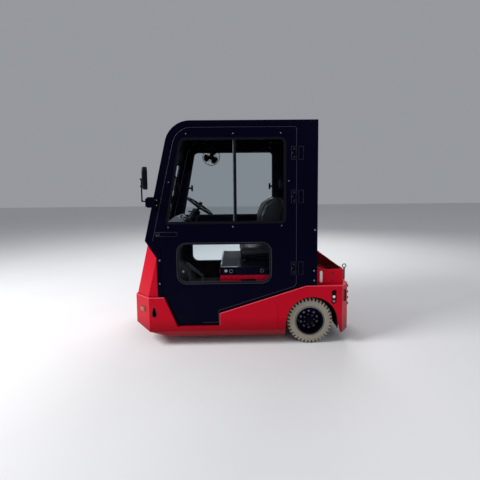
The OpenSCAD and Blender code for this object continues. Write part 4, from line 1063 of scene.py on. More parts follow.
class TUG_OT_mirrors(bpy.types.Operator):
    """Shell, rim and glass of the mirrors, with the clamps of their arms"""
    bl_idname = "tug.mirrors"
    bl_label = "Mirrors"

    def execute(self, context):
        a, b = low("mirror_heads"), high("mirror_heads")
        half = (b.y - 0.557) / 2
        centre = Vector((b.x, b.y - half, middle("mirror_heads").z))
        tall = (b.z - a.z) / 2 - 0.002
        wide = half - 0.002
        oval = rectangle(centre.y - wide, centre.z - tall, centre.y + wide, centre.z + tall, 0.048, 7)
        shell = plate(on_end(oval, a.x + 0.012), (0.016, 0, 0))
        edit(shell, everything=False)
        pick(shell, lambda f: f.normal.x > 0.99)
        for inset, out in ((0.006, 0.008), (0.014, 0.004), (0.020, 0.0018)):
            bpy.ops.mesh.inset(thickness=inset, depth=0)
            bpy.ops.transform.translate(value=(out, 0, 0))
        bpy.ops.mesh.select_all(action="DESELECT")
        pick(shell, lambda f: f.normal.x < -0.99)
        bpy.ops.mesh.extrude_region_move(TRANSFORM_OT_translate={"value": (-0.011, 0, 0)})
        bpy.ops.mesh.inset(thickness=0.007, depth=0)
        bpy.ops.mesh.extrude_region_move(TRANSFORM_OT_translate={"value": (0.008, 0, 0)})
        leave()
        shell = eased(shell, 0.0015, 2, 40)
        pivot = Matrix.Translation((a.x + 0.010, centre.y, 0))
        toed = pivot @ Matrix.Rotation(MIRROR_TOE, 4, "Z") @ pivot.inverted()
        finish(both(placed(shell, toed)), "mirror_shells", "Black moulding", "chassis",
               replaces=["mirror_heads"])
        face = plate(on_end(shrunk(oval, 0.0075), a.x + 0.0075), (0.002, 0, 0), 0.0004, 1)
        finish(both(placed(face, toed)), "mirror_faces", "Mirror glass", "chassis")
        arm_x = b.x + 0.006
        clamps = [block((arm_x - 0.014, centre.y - 0.013, z - 0.014),
                        (arm_x + 0.010, centre.y + 0.013, z), 0.003) for z in (centre.z - 0.060, centre.z)]
        foot = low("mirror_arms")
        outline = rectangle(foot.x - 0.014, foot.z - 0.012, foot.x + 0.082, foot.z + 0.084, 0.012, 4)
        bracket = plate(on_side(outline, CAB_SIDE - 0.0005), (0, 0.005, 0), 0.001)
        heads = [bolt((foot.x - 0.006, CAB_SIDE + 0.004, foot.z + z), LEFT, 0.0052, 0.006)
                 for z in (0.010, 0.056)]
        finish(both(joined(clamps + [bracket])), "mirror_clamps", "Black cab paint", "chassis")
        finish(both(joined(heads)), "mirror_bolts", "Dull steel", "chassis")
        return {"FINISHED"}


class TUG_OT_fan(bpy.types.Operator):
    """Guard wires, blades and motor of the cab fan"""
    bl_idname = "tug.fan"
    bl_label = "Fan"

    def execute(self, context):
        wire = context.scene.tug_sizes.guard_wire
        a, b = low("cab_fan"), high("cab_fan")
        radius = (b.x - a.x) / 2 - 0.002
        centre = Vector(((a.x + b.x) / 2, b.y - 0.024, a.z + radius + 0.002))
        wires = []
        spokes = 16
        for k in range(spokes):
            angle = 2 * math.pi * k / spokes
            r = Vector((math.cos(angle), 0, math.sin(angle)))
            for out in (LEFT, -LEFT):
                wires.append(tube([centre + r * radius, centre + r * radius * 0.97 + out * 0.014,
                                   centre + r * radius * 0.7 + out * 0.021, centre + r * 0.026 + out * 0.022],
                                  wire, 8, 3))
        hoops = [hoop(centre, radius, 0.0022, LEFT, 64, 8)]
        for r, y in ((0.97, 0.014), (0.5, 0.0225)):
            hoops += [hoop(centre + LEFT * s * y, radius * r, wire * 1.1, LEFT, 64, 8) for s in SIDES]
        finish(joined(wires + hoops), "fan_guard", "Black moulding", "chassis")
        boss = lathe([(0, 0.0245), (0.018, 0.024), (0.0255, 0.0225), (0.026, 0.020)], centre, "Y", 32)
        motor = lathe([(0.027, -0.018), (0.031, -0.022), (0.031, -0.058), (0.027, -0.063), (0, -0.064)],
                      centre, "Y", 32)
        leaf = ((-0.013, -0.004, 0.016), (-0.040, -0.010, 0.042), (-0.046, -0.010, 0.062),
                (-0.024, -0.005, 0.083), (0.014, 0.003, 0.085), (0.040, 0.009, 0.068), (0.037, 0.009, 0.046),
                (0.013, 0.004, 0.016))
        blade = plate([centre + Vector(p) for p in leaf], (0, 0.002, 0), 0.0008)
        blades = around(blade, 3, "Y", centre, -0.25)
        hub = lathe([(0, 0.0145), (0.017, 0.0135), (0.0205, 0.006), (0.0205, -0.016)], centre, "Y", 32)
        finish(joined([boss, motor, hub, blades]), "fan_motor_and_blades", "Black moulding", "chassis",
               replaces=["cab_fan"])
        stem = centre - LEFT * 0.032
        roof = Vector((stem.x, stem.y, high("cab_roof").z))
        knuckle = hoop(stem + UP * (radius + 0.010), 0.009, 0.004, UP, 32, 10)
        post = rod(stem + UP * 0.028, roof - UP * 0.012, 0.008, 24)
        foot = lathe([(0.030, -0.006), (0.030, -0.010), (0.026, -0.013), (0.010, -0.016)], roof, "Z", 32)
        finish(joined([knuckle, post, foot]), "fan_post", "Black moulding", "chassis")
        return {"FINISHED"}


class TUG_OT_hand_wheel(bpy.types.Operator):
    """Steering wheel with its spokes, horn pad and spinner knob"""
    bl_idname = "tug.hand_wheel"
    bl_label = "Steering wheel"

    def execute(self, context):
        radius, thick = 0.145, 0.0126
        rim = hoop(ORIGIN, radius, thick, UP, 96, 20)
        bumps = around(hoop((radius, 0, 0), thick, 0.0011, LEFT, 16, 6), 48, "Z", ORIGIN)
        spoke = plate([(0.020, -0.015, -0.010), (0.060, -0.011, -0.010), (radius - 0.004, -0.009, -0.004),
                       (radius - 0.004, 0.009, -0.004), (0.060, 0.011, -0.010), (0.020, 0.015, -0.010)],
                      (0, 0, 0.007), 0.0018)
        spokes = around(spoke, 3, "Z", ORIGIN, math.radians(90))
        hub = lathe([(0, -0.0275), (0.030, -0.0275), (0.034, -0.024), (0.034, -0.006), (0.030, 0.001),
                     (0.026, 0.002), (0.025, 0.0045), (0.020, 0.0065), (0, 0.0075)], ORIGIN, "Z", 48)
        knob = lathe([(0, 0.057), (0.012, 0.0565), (0.018, 0.053), (0.0205, 0.046), (0.0195, 0.037),
                      (0.014, 0.029), (0.0075, 0.027), (0.0075, 0.006)], (0, radius, 0), "Z", 32)
        wheel = placed(joined([rim, bumps, spokes, hub, knob]), COLUMN_TURN)
        finish(wheel, "steering_wheel_skin", "Black moulding", "hand_wheel",
               replaces=["steering_wheel"])
        return {"FINISHED"}


# Doors and body fittings

class TUG_OT_door_fittings(bpy.types.Operator):
    """Handles, locks, inner pulls and the doors' half of the hinge bolts"""
    bl_idname = "tug.door_fittings"
    bl_label = "Door fittings"

    def execute(self, context):
        face = CAB_SIDE + 0.006
        for body, side in DOORS:
            out = Vector((0, side, 0))
            pins = [bolt((HINGE.x + x, HINGE_FACE * side, z + dz), out, HINGE_BOLT, HINGE_BOLT_TALL)
                    for z in HINGE_HEIGHTS for x, dz in HINGE_BOLTS]
            heads = [screw((LOCK.x + x, face * side, LOCK.z + dz), out, 0.004, 0.0015)
                     for x, dz in ((-0.153, 0.011), (0.018, -0.011))]
            finish(joined(heads), "handle_screws_" + NAMES[side], "Dull steel", body)
            finish(joined(pins), "hinge_bolts_" + NAMES[side], "Dark steel", body)
            barrel = lathe([(0, 0.0085), (0.0085, 0.0085), (0.0105, 0.0075), (0.0118, 0.0085),
                            (0.0128, 0.0070), (0.0130, 0.0)], ORIGIN, "Y", 40)
            keyway = block((-0.0010, 0.0082, -0.0045), (0.0010, 0.0092, 0.0045))
            lock = placed(facing(joined([barrel, keyway]), side),
                          Matrix.Translation((LOCK.x, face * side, LOCK.z)))
            finish(lock, "door_lock_" + NAMES[side], "Dark steel", body)
            # The handle's rim is grey: a painted highlight round the handle.
            cup = rectangle(LOCK.x - 0.168, LOCK.z - 0.0205, LOCK.x + 0.033, LOCK.z + 0.0205, 0.018, 6)
            edge = band(on_side(cup, CAB_SIDE * side), 0.0022, (0, 0.0070 * side, 0), 0.0008)
            finish(edge, "door_handle_rim_" + NAMES[side], "Grey window seal", body)
            grip = rectangle(LOCK.x - 0.155, LOCK.z - 0.004, LOCK.x - 0.029, LOCK.z + 0.017, 0.009, 5)
            grip = plate(on_side(grip, (CAB_SIDE + 0.0255) * side), (0, 0.0022 * side, 0), 0.001)
            finish(grip, "door_handle_grip_" + NAMES[side], "Black cab paint", body)
            inside = DOOR_IN * side
            bar = inside - 0.034 * side
            bend = inside - 0.034 * 0.8 * side
            rear, ahead, level = 0.36, 0.555, 1.040
            pull = tube([(rear, inside, level), (rear, bend, level), (rear + 0.015, bar, level),
                         (ahead - 0.015, bar, level), (ahead, bend, level), (ahead, inside, level)],
                        0.009, 16, 5)
            box = block((0.690, inside - 0.016 * side, 1.012), (0.800, inside, 1.078), 0.004)
            catch = block((0.700, inside - 0.026 * side, 1.036), (0.745, inside - 0.014 * side, 1.052), 0.003)
            finish(joined([pull, box, catch]), "door_inner_fittings_" + NAMES[side], "Black moulding", body)
        return {"FINISHED"}


def hinge_edges(x0, x1, side):
    """The raised edges of one half of each hinge on a side of the cab."""
    return joined([band(on_side(rectangle(HINGE.x + x0, z - 0.058, HINGE.x + x1, z + 0.058),
                                HINGE_FACE * side), 0.0016, (0, 0.0008 * side, 0)) for z in HINGE_HEIGHTS])


class TUG_OT_edges(bpy.types.Operator):
    """Beads and seals of the doors, edges of the hinges, rolled edges, hole rims and seams of the body"""
    bl_idname = "tug.edges"
    bl_label = "Edges and seams"

    def execute(self, context):
        a, b = low("door_panel_left"), high("door_panel_left")
        skin = high("lower_shell").y - 0.0022
        step = Vector((TIP.x - 0.672, skin, 0.306))
        belt = Vector((low("rear_tyre_left").x + 0.252, skin, BELT_TOP))
        belt_rise = (belt.z - step.z) / (step.x - belt.x)
        leaning = math.tan(LEAN) * (b.z - TIP.z)
        foot = Vector((step.x + 0.012, 0.330))
        bottom = a.z + 0.010
        for body, side in DOORS:
            rear, top, front = a.x + 0.004, b.z - 0.004, b.x - 0.003
            path = parted(rounded([(foot.x + 0.150, bottom), (foot.x, bottom), foot,
                                   (rear, foot.y + belt_rise * (foot.x - a.x)), (rear, top),
                                   (front - leaning, top), (front, TIP.z)],
                                  [0, 0.008, 0.02, 0.05, 0.02, 0.17, 0], 8))
            # The door bead and the hinge edges are grey: painted highlights along the door's outline and the
            # hinges.
            bead = tube(on_side(path, (CAB_SIDE + 0.0002) * side), 0.0013, 8, 1)
            finish(bead, "door_bead_" + NAMES[side], "Grey window seal", body)
            leaves = hinge_edges(0.0115, 0.0555, side)
            finish(leaves, "hinge_edges_" + NAMES[side], "Grey window seal", body)

        gap = 0.0025
        rear, top, front = a.x - gap, b.z + gap, b.x + gap
        path = parted(rounded([(rear, a.z + 0.40), (rear, top), (front - leaning, top), (front, TIP.z)],
                              [0, 0.02, 0.17, 0], 8))
        bulb = tube(on_side(path, DOOR_IN - 0.0068), 0.006, 12, 1)
        finish(both(bulb), "door_seals", "Black rubber", "chassis")

        rim = 0.461
        shell, tail, corner = high("lower_shell").x, low("rear_plate").x + 0.0022, -0.835
        nose = shell - 0.0022
        lines = ([step - UP * 0.11, step, belt, (corner, skin, BELT_TOP)],
                 [(TIP.x - 0.164, skin, rim), (0.933, skin, rim), (nose, 0.385, rim), (nose, 0, rim)],
                 [(corner, skin, BELT_TOP), (corner - 0.008, skin, BELT_TOP), (tail, 0.420, BELT_TOP),
                  (tail, 0, BELT_TOP)])
        # The rolled edges take a light pink: a painted highlight along their tops.
        rolled = [tube(line, 0.0024, 12, 1) for line in lines]
        finish(both(joined(rolled)), "rolled_edges", "Worn red edge", "chassis")
        # Grey edges of the posts' hinges: painted highlights.
        posts = both(hinge_edges(-0.0555, -0.0115, 1))
        finish(posts, "hinge_post_edges", "Grey window seal", "chassis")

        drop = []
        for z, radius, first, last in ((0.302, 0.0235, 170, 370), (0.362, 0.0115, 10, 170)):
            for turn in (math.radians(angle) for angle in range(first, last + 1, 20)):
                drop.append((shell - 0.203 + radius * math.cos(turn), z + radius * math.sin(turn)))
        collar = band(on_side(drop, skin + 0.0016), 0.005, (0, 0.0022, 0), 0.0008)
        finish(both(collar), "lashing_hole_rims", "Dark steel", "chassis")
        joint = low("lower_shell").x
        sealant = block((joint - 0.0012, skin + 0.0015, 0.150), (joint + 0.0012, skin + 0.0026, 0.385))
        finish(both(sealant), "body_seams", "Black rubber", "chassis")
        return {"FINISHED"}


class TUG_OT_body_bolts(bpy.types.Operator):
    """Bolts of the cab's sides and rear wall, and the posts' half of the hinge bolts"""
    bl_idname = "tug.body_bolts"
    bl_label = "Body bolts"

    def execute(self, context):
        caps = []
        for z in HINGE_HEIGHTS:
            caps += [bolt((HINGE.x - x, HINGE_FACE, z + dz), LEFT, HINGE_BOLT, HINGE_BOLT_TALL)
                     for x, dz in HINGE_BOLTS]
            pin = HINGE + UP * z
            caps += [rod(pin + UP * s * 0.0588, pin + UP * s * 0.0625, 0.0068, 24, 0.005, edge=0.0008)
                     for s in SIDES]
        finish(both(joined(caps)), "hinge_caps", "Black cab paint", "chassis")
        places = ((0.828, 0.806), (0.833, 0.590), (-0.585, 0.692), (-0.587, 0.600), (-0.591, 1.069))
        heads = [bolt((x, CAB_SIDE, z), LEFT, 0.0056, 0.006) for x, z in places]
        rear = low("cab_rear_wall").x
        heads += [bolt((rear, y, z), (-1, 0, 0), 0.0065, 0.005)
                  for y in (0.14, 0.30, 0.43) for z in (0.80, 1.98)]
        finish(both(joined(heads)), "cab_bolts", "Dull steel", "chassis")
        return {"FINISHED"}


class TUG_OT_lamps(bpy.types.Operator):
    """Reflectors and lenses of the headlamps, corner lamps with their bases, bezels of the tail lamps"""
    bl_idname = "tug.lamps"
    bl_label = "Lamps"

    def execute(self, context):
        front = high("headlamps").x
        centre = Vector((0, 0.265, 0.330))
        bowl = lathe([(0.0445, front - 0.005), (0.043, front - 0.012), (0.034, front - 0.026),
                      (0.020, front - 0.034), (0.011, front - 0.036), (0, front - 0.036)], centre, "X", 48)
        ring = lathe([(0.0445, front - 0.005), (0.0455, front - 0.0005), (0.0495, front - 0.0005),
                      (0.0515, front - 0.003), (0.0515, front - 0.040), (0.0445, front - 0.040),
                      (0.0445, front - 0.005)], centre, "X", 64)
        bulb = rod((front - 0.036, centre.y, centre.z), (front - 0.016, centre.y, centre.z), 0.007, 20, 0.005,
                   edge=0.001)
        finish(both(joined([ring, bowl, bulb])), "headlamp_reflectors", "Plated steel", "chassis",
               replaces=["headlamps"])
        dome = [(0, front + 0.0012)] + [(0.0452 * math.sin(a), front - 0.0048 + 0.006 * math.cos(a))
                                        for a in (0.35, 0.7, 1.05, 1.35)]
        back = [(0.0452, front - 0.0070), (0.030, front - 0.0036), (0, front - 0.0012)]
        lens = lathe(dome + back, centre, "X", 64)
        finish(both(lens), "headlamp_lenses", "Lamp glass", "chassis")

        centre = middle("corner_lamps")
        out = Vector((0.652, 0.758, 0))
        place = looking(Vector((centre.x, 0.4593, centre.z)) - out * 0.002, out)
        lens = block((-0.033, -0.021, -0.006), (0.033, 0.021, 0.006), 0.004)
        finish(both(placed(lens, place)), "corner_lamp_lenses", "Amber lens", "chassis",
               replaces=["corner_lamps"])
        base = block((-0.036, -0.024, -0.006), (0.036, 0.024, 0.001), 0.001)
        finish(both(placed(base, place)), "corner_lamp_bases", "Dark steel", "chassis")

        centre = middle("tail_lamps")
        out = Vector((-0.773, 0.634, 0))
        place = looking(Vector((centre.x, (high("tail_lamps").y + 0.4717) / 2, centre.z)) + out * 0.004, out)
        oval = on_floor(rectangle(-0.021, -0.056, 0.021, 0.056, 0.014, 5), 0)
        bezel = band(oval, 0.0045, (0, 0, 0.004), 0.0015)
        ribs = [block((-0.012, y - 0.0012, 0), (0.012, y + 0.0012, 0.0015))
                for y in (-0.040, -0.020, 0.0, 0.020, 0.040)]
        finish(both(placed(joined([bezel] + ribs), place)), "tail_lamp_bezels", "Black rubber", "chassis")
        return {"FINISHED"}


class TUG_OT_inching(bpy.types.Operator):
    """Caps and rings of the three switches beside each rear lamp"""
    bl_idname = "tug.inching"
    bl_label = "Inching switches"

    def execute(self, context):
        x, _, z = middle("inching_switches")
        face, pitch = high("inching_switches").y, 0.042
        collar = lathe([(0.0152, -0.003), (0.0190, -0.003), (0.0190, 0.001), (0.0172, 0.0030),
                        (0.0152, 0.0030)], ORIGIN, "Y", 40)
        rings = at_places(collar, [(x, face - 0.004, z + pitch * k) for k in (-1, 0, 1)])
        tip = rod((x, face - 0.001, z + pitch), (x, face + 0.003, z + pitch), 0.006, 24, 0.004, edge=0.001)
        finish(both(joined([rings, tip])), "switch_collars", "Black moulding", "chassis")
        cap = lathe([(0, 0.005), (0.007, 0.0046), (0.0115, 0.003), (0.0135, 0.0005), (0.0135, -0.004)],
                    ORIGIN, "Y", 40)
        white = placed(copied(cap), Matrix.Translation((x, face, z)))
        finish(both(white), "switch_caps", "White plastic", "chassis")
        key = block((-0.0012, 0.0045, -0.006), (0.0012, 0.0056, 0.006))
        steel = placed(joined([cap, key]), Matrix.Translation((x, face, z - pitch)))
        finish(both(steel), "switch_keys", "Dull steel", "chassis")
        return {"FINISHED"}


# Inside the cab

class TUG_OT_dash(bpy.types.Operator):
    """Display, gauge, switches, visor and vents of the dashboard"""
    bl_idname = "tug.dash"
    bl_label = "Dashboard"

    def execute(self, context):
        top = high("dashboard").z
        a, b = Vector((TIP.x - 0.318, 0, top - 0.071)), Vector((TIP.x - 0.246, 0, top))
        slope = (b - a).normalized()
        out = slope.cross(LEFT)
        # X goes to the tug's left, Y up the slope and Z out of it, which mirrors what is placed
        place = Matrix.Translation((a + b) / 2) @ Matrix((LEFT, slope, out)).transposed().to_4x4()
        outline = on_floor(rectangle(-0.085, -0.034, 0.085, 0.034, 0.010, 4), -0.001)
        pod = band(outline, 0.012, (0, 0, 0.010), 0.003)
        switches = []
        for k in range(4):
            u = -0.180 + 0.022 * k
            switches.append(block((u - 0.0085, -0.016, 0), (u + 0.0085, 0.016, 0.003), 0.001))
            rocker = block((u - 0.0065, -0.013, 0.002), (u + 0.0065, 0.013, 0.007), 0.001)
            switches.append(turned(rocker, 0.12 if k % 2 else -0.12, "X", (u, 0, 0.004)))
        finish(placed(joined([pod] + switches), place), "dash_controls", "Black moulding", "chassis")
        glass = block((-0.073, -0.022, 0.001), (0.073, 0.022, 0.004), 0.001)
        dial = lathe([(0, 0.0050), (0.017, 0.0050), (0.019, 0.003), (0.019, 0.0)], (0.170, 0, 0), "Z", 40)
        finish(placed(joined([glass, dial]), place), "dash_display", "Display glass", "chassis")
        hood = plate([(0.090 * s, 0.040, 0.0) for s in (-1, 1)] + [(0.090 * s, 0.046, 0.0) for s in (1, -1)],
                     (0, 0, 0.022), 0.002)
        finish(placed(hood, place), "dash_visor", "Grey moulding", "chassis")
        shelf = top - 0.090
        radius = 0.030
        collar = lathe([(radius, -0.002), (0.036, -0.002), (0.036, 0.002), (0.033, 0.005), (radius, 0.002)],
                       ORIGIN, "Z", 40)
        floor = lathe([(0, 0.0015), (0.031, 0.0015), (0.031, -0.002)], ORIGIN, "Z", 40)
        slats = []
        for x in (-0.020, -0.010, 0.0, 0.010, 0.020):
            half = math.sqrt(radius ** 2 - x ** 2)
            slats.append(block((x - 0.001, -half, 0.001), (x + 0.001, half, 0.0038)))
        places = [(TIP.x - 0.140, y, shelf) for y in (-0.360, 0.360)]
        vents = [at_places(joined([collar, floor] + slats), places)]
        slit = block((TIP.x - 0.288, -0.05, shelf - 0.036), (TIP.x - 0.284, 0.05, shelf - 0.014), 0.0015)
        vents.append(at_places(slit, [LEFT * y for y in (-0.250, 0.250)]))
        finish(joined(vents), "dash_vents", "Black moulding", "chassis")
        return {"FINISHED"}


class TUG_OT_column(bpy.types.Operator):
    """Shroud, boot, levers and key of the steering column"""
    bl_idname = "tug.column"
    bl_label = "Steering column"

    def execute(self, context):
        shroud = lathe([(0.031, -0.205), (0.046, -0.196), (0.049, -0.185), (0.049, -0.172), (0.0455, -0.162),
                        (0.0455, -0.058), (0.040, -0.050), (0.026, -0.046), (0.017, -0.044), (0.017, -0.036)],
                       ORIGIN, "Z", 40)
        fold = lathe([(0.0305, -0.208), (0.037, -0.212), (0.0305, -0.216)], ORIGIN, "Z", 32)
        boot = at_places(fold, [(0, 0, -0.011 * k) for k in range(4)])
        key = rod((-0.020, 0.046, -0.110), (-0.020, 0.062, -0.110), 0.009, 20, edge=0.001)
        finish(placed(joined([shroud, key, boot]), COLUMN_TURN), "column_shroud", "Black moulding", "chassis")
        direction = tube([(0.010, 0.040, -0.085), (0.040, 0.085, -0.088), (0.052, 0.150, -0.092)], 0.0045,
                         12, 5)
        pod = rod((0.046, 0.118, -0.090), (0.0535, 0.158, -0.0925), 0.0075, 20, edge=0.002)
        finish(placed(joined([direction, pod]), COLUMN_TURN), "column_lever", "Black moulding", "chassis")
        brake = tube([(0.570, 0.075, 1.075), (0.545, 0.078, 1.110), (0.522, 0.080, 1.150)], 0.0045, 12, 5)
        knob = lathe([(0, 0.031), (0.008, 0.029), (0.012, 0.022), (0.0125, 0.015), (0.008, 0.004),
                      (0.0045, 0.0)], (0.518, 0.081, 1.152), "Z", 24)
        foot = rod((0.600, 0.072, 1.045), (0.566, 0.0755, 1.082), 0.013, 24, 0.007, edge=0.001)
        finish(joined([brake, knob, foot]), "drive_selector", "Black moulding", "chassis")
        return {"FINISHED"}


class TUG_OT_foot_room(bpy.types.Operator):
    """Floor mats, treads of the side steps and ribbed pads on the pedals"""
    bl_idname = "tug.foot_room"
    bl_label = "Foot room"

    def execute(self, context):
        rear, ahead = 0.300, 0.600
        mat = plate(on_floor(rectangle(rear, -0.325, ahead, 0.325, 0.03, 4), FLOOR_Z), (0, 0, 0.005), 0.001)
        rib = block((rear + 0.02, -0.293, FLOOR_Z + 0.0045), (ahead - 0.02, -0.287, FLOOR_Z + 0.0065))
        ribs = at_places(rib, [LEFT * 0.029 * k for k in range(21)])
        toe = Vector((low("bulkhead").x, 0, FLOOR_Z))
        rise = (Vector((0.772, 0, 0.640)) - toe).normalized()
        out = rise.cross(LEFT)
        corners = [toe + rise * r + LEFT * y + out * 0.0002 for r, y in rectangle(0.03, -0.33, 0.235, 0.33)]
        board = plate(corners, out * 0.004, 0.001)
        finish(joined([mat, board, ribs]), "floor_mats", "Black rubber", "chassis")

        step = low("floor_pan").z + 0.006
        sheet = block((0.300, 0.348, step), (0.668, 0.462, step + 0.003), 0.0008)
        rib = block((0.306, 0.354, step + 0.0028), (0.316, 0.456, step + 0.0060), 0.001, 1)
        treads = joined([sheet, at_places(rib, [(0.024 * k, 0, 0) for k in range(15)])])
        finish(both(treads), "step_treads", "Black rubber", "chassis")

        # Each pedal: the ends of its face along and up, its sides across the tug and its ribs
        pads = []
        for (x0, z0), (x1, z1), y0, y1, count in (((0.500, 0.488), (0.678, 0.641), -0.195, -0.105, 9),
                                                  ((0.584, 0.595), (0.648, 0.635), -0.055, 0.015, 4)):
            a, b = Vector((x0, 0, z0)), Vector((x1, 0, z1))
            way = (b - a).normalized()
            out = LEFT.cross(-way)
            reach = (b - a).length
            corners = [a + way * r + LEFT * y + out * 0.0002 for r, y in rectangle(0, y0, reach, y1)]
            pads.append(plate(corners, out * 0.004, 0.0012))
            for k in range(count):
                r = reach * (k + 0.5) / count
                rib = [a + way * s + LEFT * y + out * 0.0035 for s, y in
                       rectangle(r - 0.004, y0 + 0.008, r + 0.004, y1 - 0.008)]
                pads.append(plate(rib, out * 0.003, 0.001, 1))
        finish(joined(pads), "pedal_pads", "Black rubber", "chassis")
        return {"FINISHED"}


# Battery, hood and tray

class TUG_OT_hood(bpy.types.Operator):
    """Rings, screws, strips and seals of the battery hood, and the grips of its bay"""
    bl_idname = "tug.hood"
    bl_label = "Battery hood"

    def execute(self, context):
        a, b = low("battery_hood"), high("battery_hood")
        side, front = b.y, b.x - 0.015
        places = [Vector((x, side, 0.684)) for x in (0.180, -0.111)]
        eyes = [hoop(place + LEFT * 0.004, 0.0150, 0.0024, LEFT, 32, 10) for place in places]
        washers = [rod(place - LEFT * 0.0005, place + LEFT * 0.003, 0.019, 32, edge=0.0006)
                   for place in places]
        washers.append(bolt((-0.161, side - 0.0005, 0.686), LEFT, 0.0085, 0.009))
        latch = bolt((0.227, side - 0.0005, 0.686), LEFT, 0.0095, 0.009)
        finish(both(joined(eyes)), "hood_rings", "Dull steel", "battery_lid")
        finish(both(joined(washers)), "hood_washers", "Black cab paint", "battery_lid")
        finish(both(latch), "hood_screws", "Plated steel", "battery_lid")
        strip = block((front - 0.010, -0.32, HOOD_TOP - 0.0012),
                      (front + 0.0022, 0.32, HOOD_TOP + 0.0022), 0.001)
        edit(strip, everything=False)
        pick(strip, lambda f: f.normal.z < -0.99)
        bpy.ops.mesh.extrude_region_move(TRANSFORM_OT_translate={"value": (0, 0, -0.012)})
        leave()
        nosing = block((front - 0.170, side - 0.030, HOOD_TOP - 0.001),
                       (front - 0.002, side - 0.004, HOOD_TOP + 0.003), 0.001)
        finish(joined([strip, both(nosing)]), "hood_strip", "Brushed aluminium", "battery_lid")
        seal = block((a.x + 0.012, side - 0.015, a.z + 0.0015),
                     (front - 0.012, side - 0.009, a.z + 0.010), 0.001)
        finish(both(seal), "hood_seals", "Black rubber", "battery_lid")
        outline = on_side(rectangle(-0.054, 0.574, 0.092, 0.607, 0.014, 6), side)
        grip = joined([plate(outline, (0, 0.003, 0), 0.001), band(outline, 0.005, (0, 0.008, 0), 0.002)])
        finish(both(grip), "bay_grips", "Black rubber", "chassis")
        return {"FINISHED"}


class TUG_OT_battery(bpy.types.Operator):
    """Cell links, vent caps and the plug of the battery"""
    bl_idname = "tug.battery"
    bl_label = "Battery"

    def execute(self, context):
        a, b = low("battery"), high("battery")
        case, cells = 0.006, (4, 6)
        step = Vector(((b.x - a.x - 2 * case) / cells[0], (b.y - a.y - 2 * case) / cells[1], 0))
        lid = b.z - 0.012
        cap = lathe([(0, 0.0145), (0.008, 0.0140), (0.0115, 0.0115), (0.0125, 0.008), (0.0125, 0.0)],
                    ORIGIN, "Z", 20)
        link = block((-0.008, -step.y / 2 + 0.020, 0), (0.008, step.y / 2 - 0.020, 0.004), 0.001, 1)
        centres = [Vector((a.x + case + (i + 0.5) * step.x, a.y + case + (j + 0.5) * step.y, lid))
                   for i in range(cells[0]) for j in range(cells[1])]
        finish(at_places(cap, centres), "battery_caps", "White plastic", "chassis")
        # The links join the cells of a row, on the far side in every other row
        places = [c + Vector((0.035 if round((c.x - a.x) / step.x) % 2 else -0.035, step.y / 2, 0.0))
                  for c in centres if c.y + step.y < b.y]
        finish(at_places(link, places), "battery_links", "Dull steel", "chassis")
        plug = block((b.x - 0.10, b.y - 0.075, lid + 0.002), (b.x - 0.02, b.y - 0.020, lid + 0.026), 0.004)
        grip = rectangle(b.x - 0.085, lid + 0.024, b.x - 0.035, lid + 0.032)
        grip = tube(on_side(grip, b.y - 0.048), 0.003, 8, 3)
        finish(joined([plug, grip]), "battery_plug", "Grey moulding", "chassis")
        return {"FINISHED"}


class TUG_OT_tray(bpy.types.Operator):
    """Rolled edge, mat, side reflectors and bolts of the load tray"""
    bl_idname = "tug.tray"
    bl_label = "Load tray"

    def execute(self, context):
        side, rear, top = 0.460, -0.870, high("load_tray").z
        wall = 0.0025
        brim, skin, tail = top - 0.030, side - wall, rear + wall
        edge = tube([(-0.617, skin, top - 0.002), (-0.706, skin, brim), (-0.80, skin, brim),
                     (rear + 0.016, skin, brim), (tail, side - 0.018, brim), (tail, 0.30, brim),
                     (tail, 0, brim)], 0.0045, 12, 6)
        finish(both(edge), "tray_edge", "Red body paint", "chassis")
        deck = low("load_tray").z + 0.008
        outline = on_floor(rectangle(rear + 0.02, -0.43, -0.635, 0.43, 0.02, 4), deck)
        mat = plate(outline, (0, 0, 0.004), 0.001)
        rib = block((rear + 0.035, -0.404, deck + 0.0035), (-0.650, -0.396, deck + 0.0065), 0.001, 1)
        ribs = at_places(rib, [LEFT * 0.04 * k for k in range(21)])
        finish(joined([mat, ribs]), "tray_mat", "Black rubber", "chassis")
        oval = on_side(rectangle(-0.6745, 0.569, -0.6495, 0.679, 0.0122, 6), side)
        oval = plate(oval, (0, 0.004, 0), 0.0015)
        finish(both(oval), "side_reflectors", "White plastic", "chassis")
        heads = [bolt((-0.768, side, z), LEFT, 0.0065, 0.006) for z in (0.654, 0.589)]
        finish(both(joined(heads)), "tray_bolts", "Dark steel", "chassis")
        return {"FINISHED"}


# Running gear, coupler and wiper

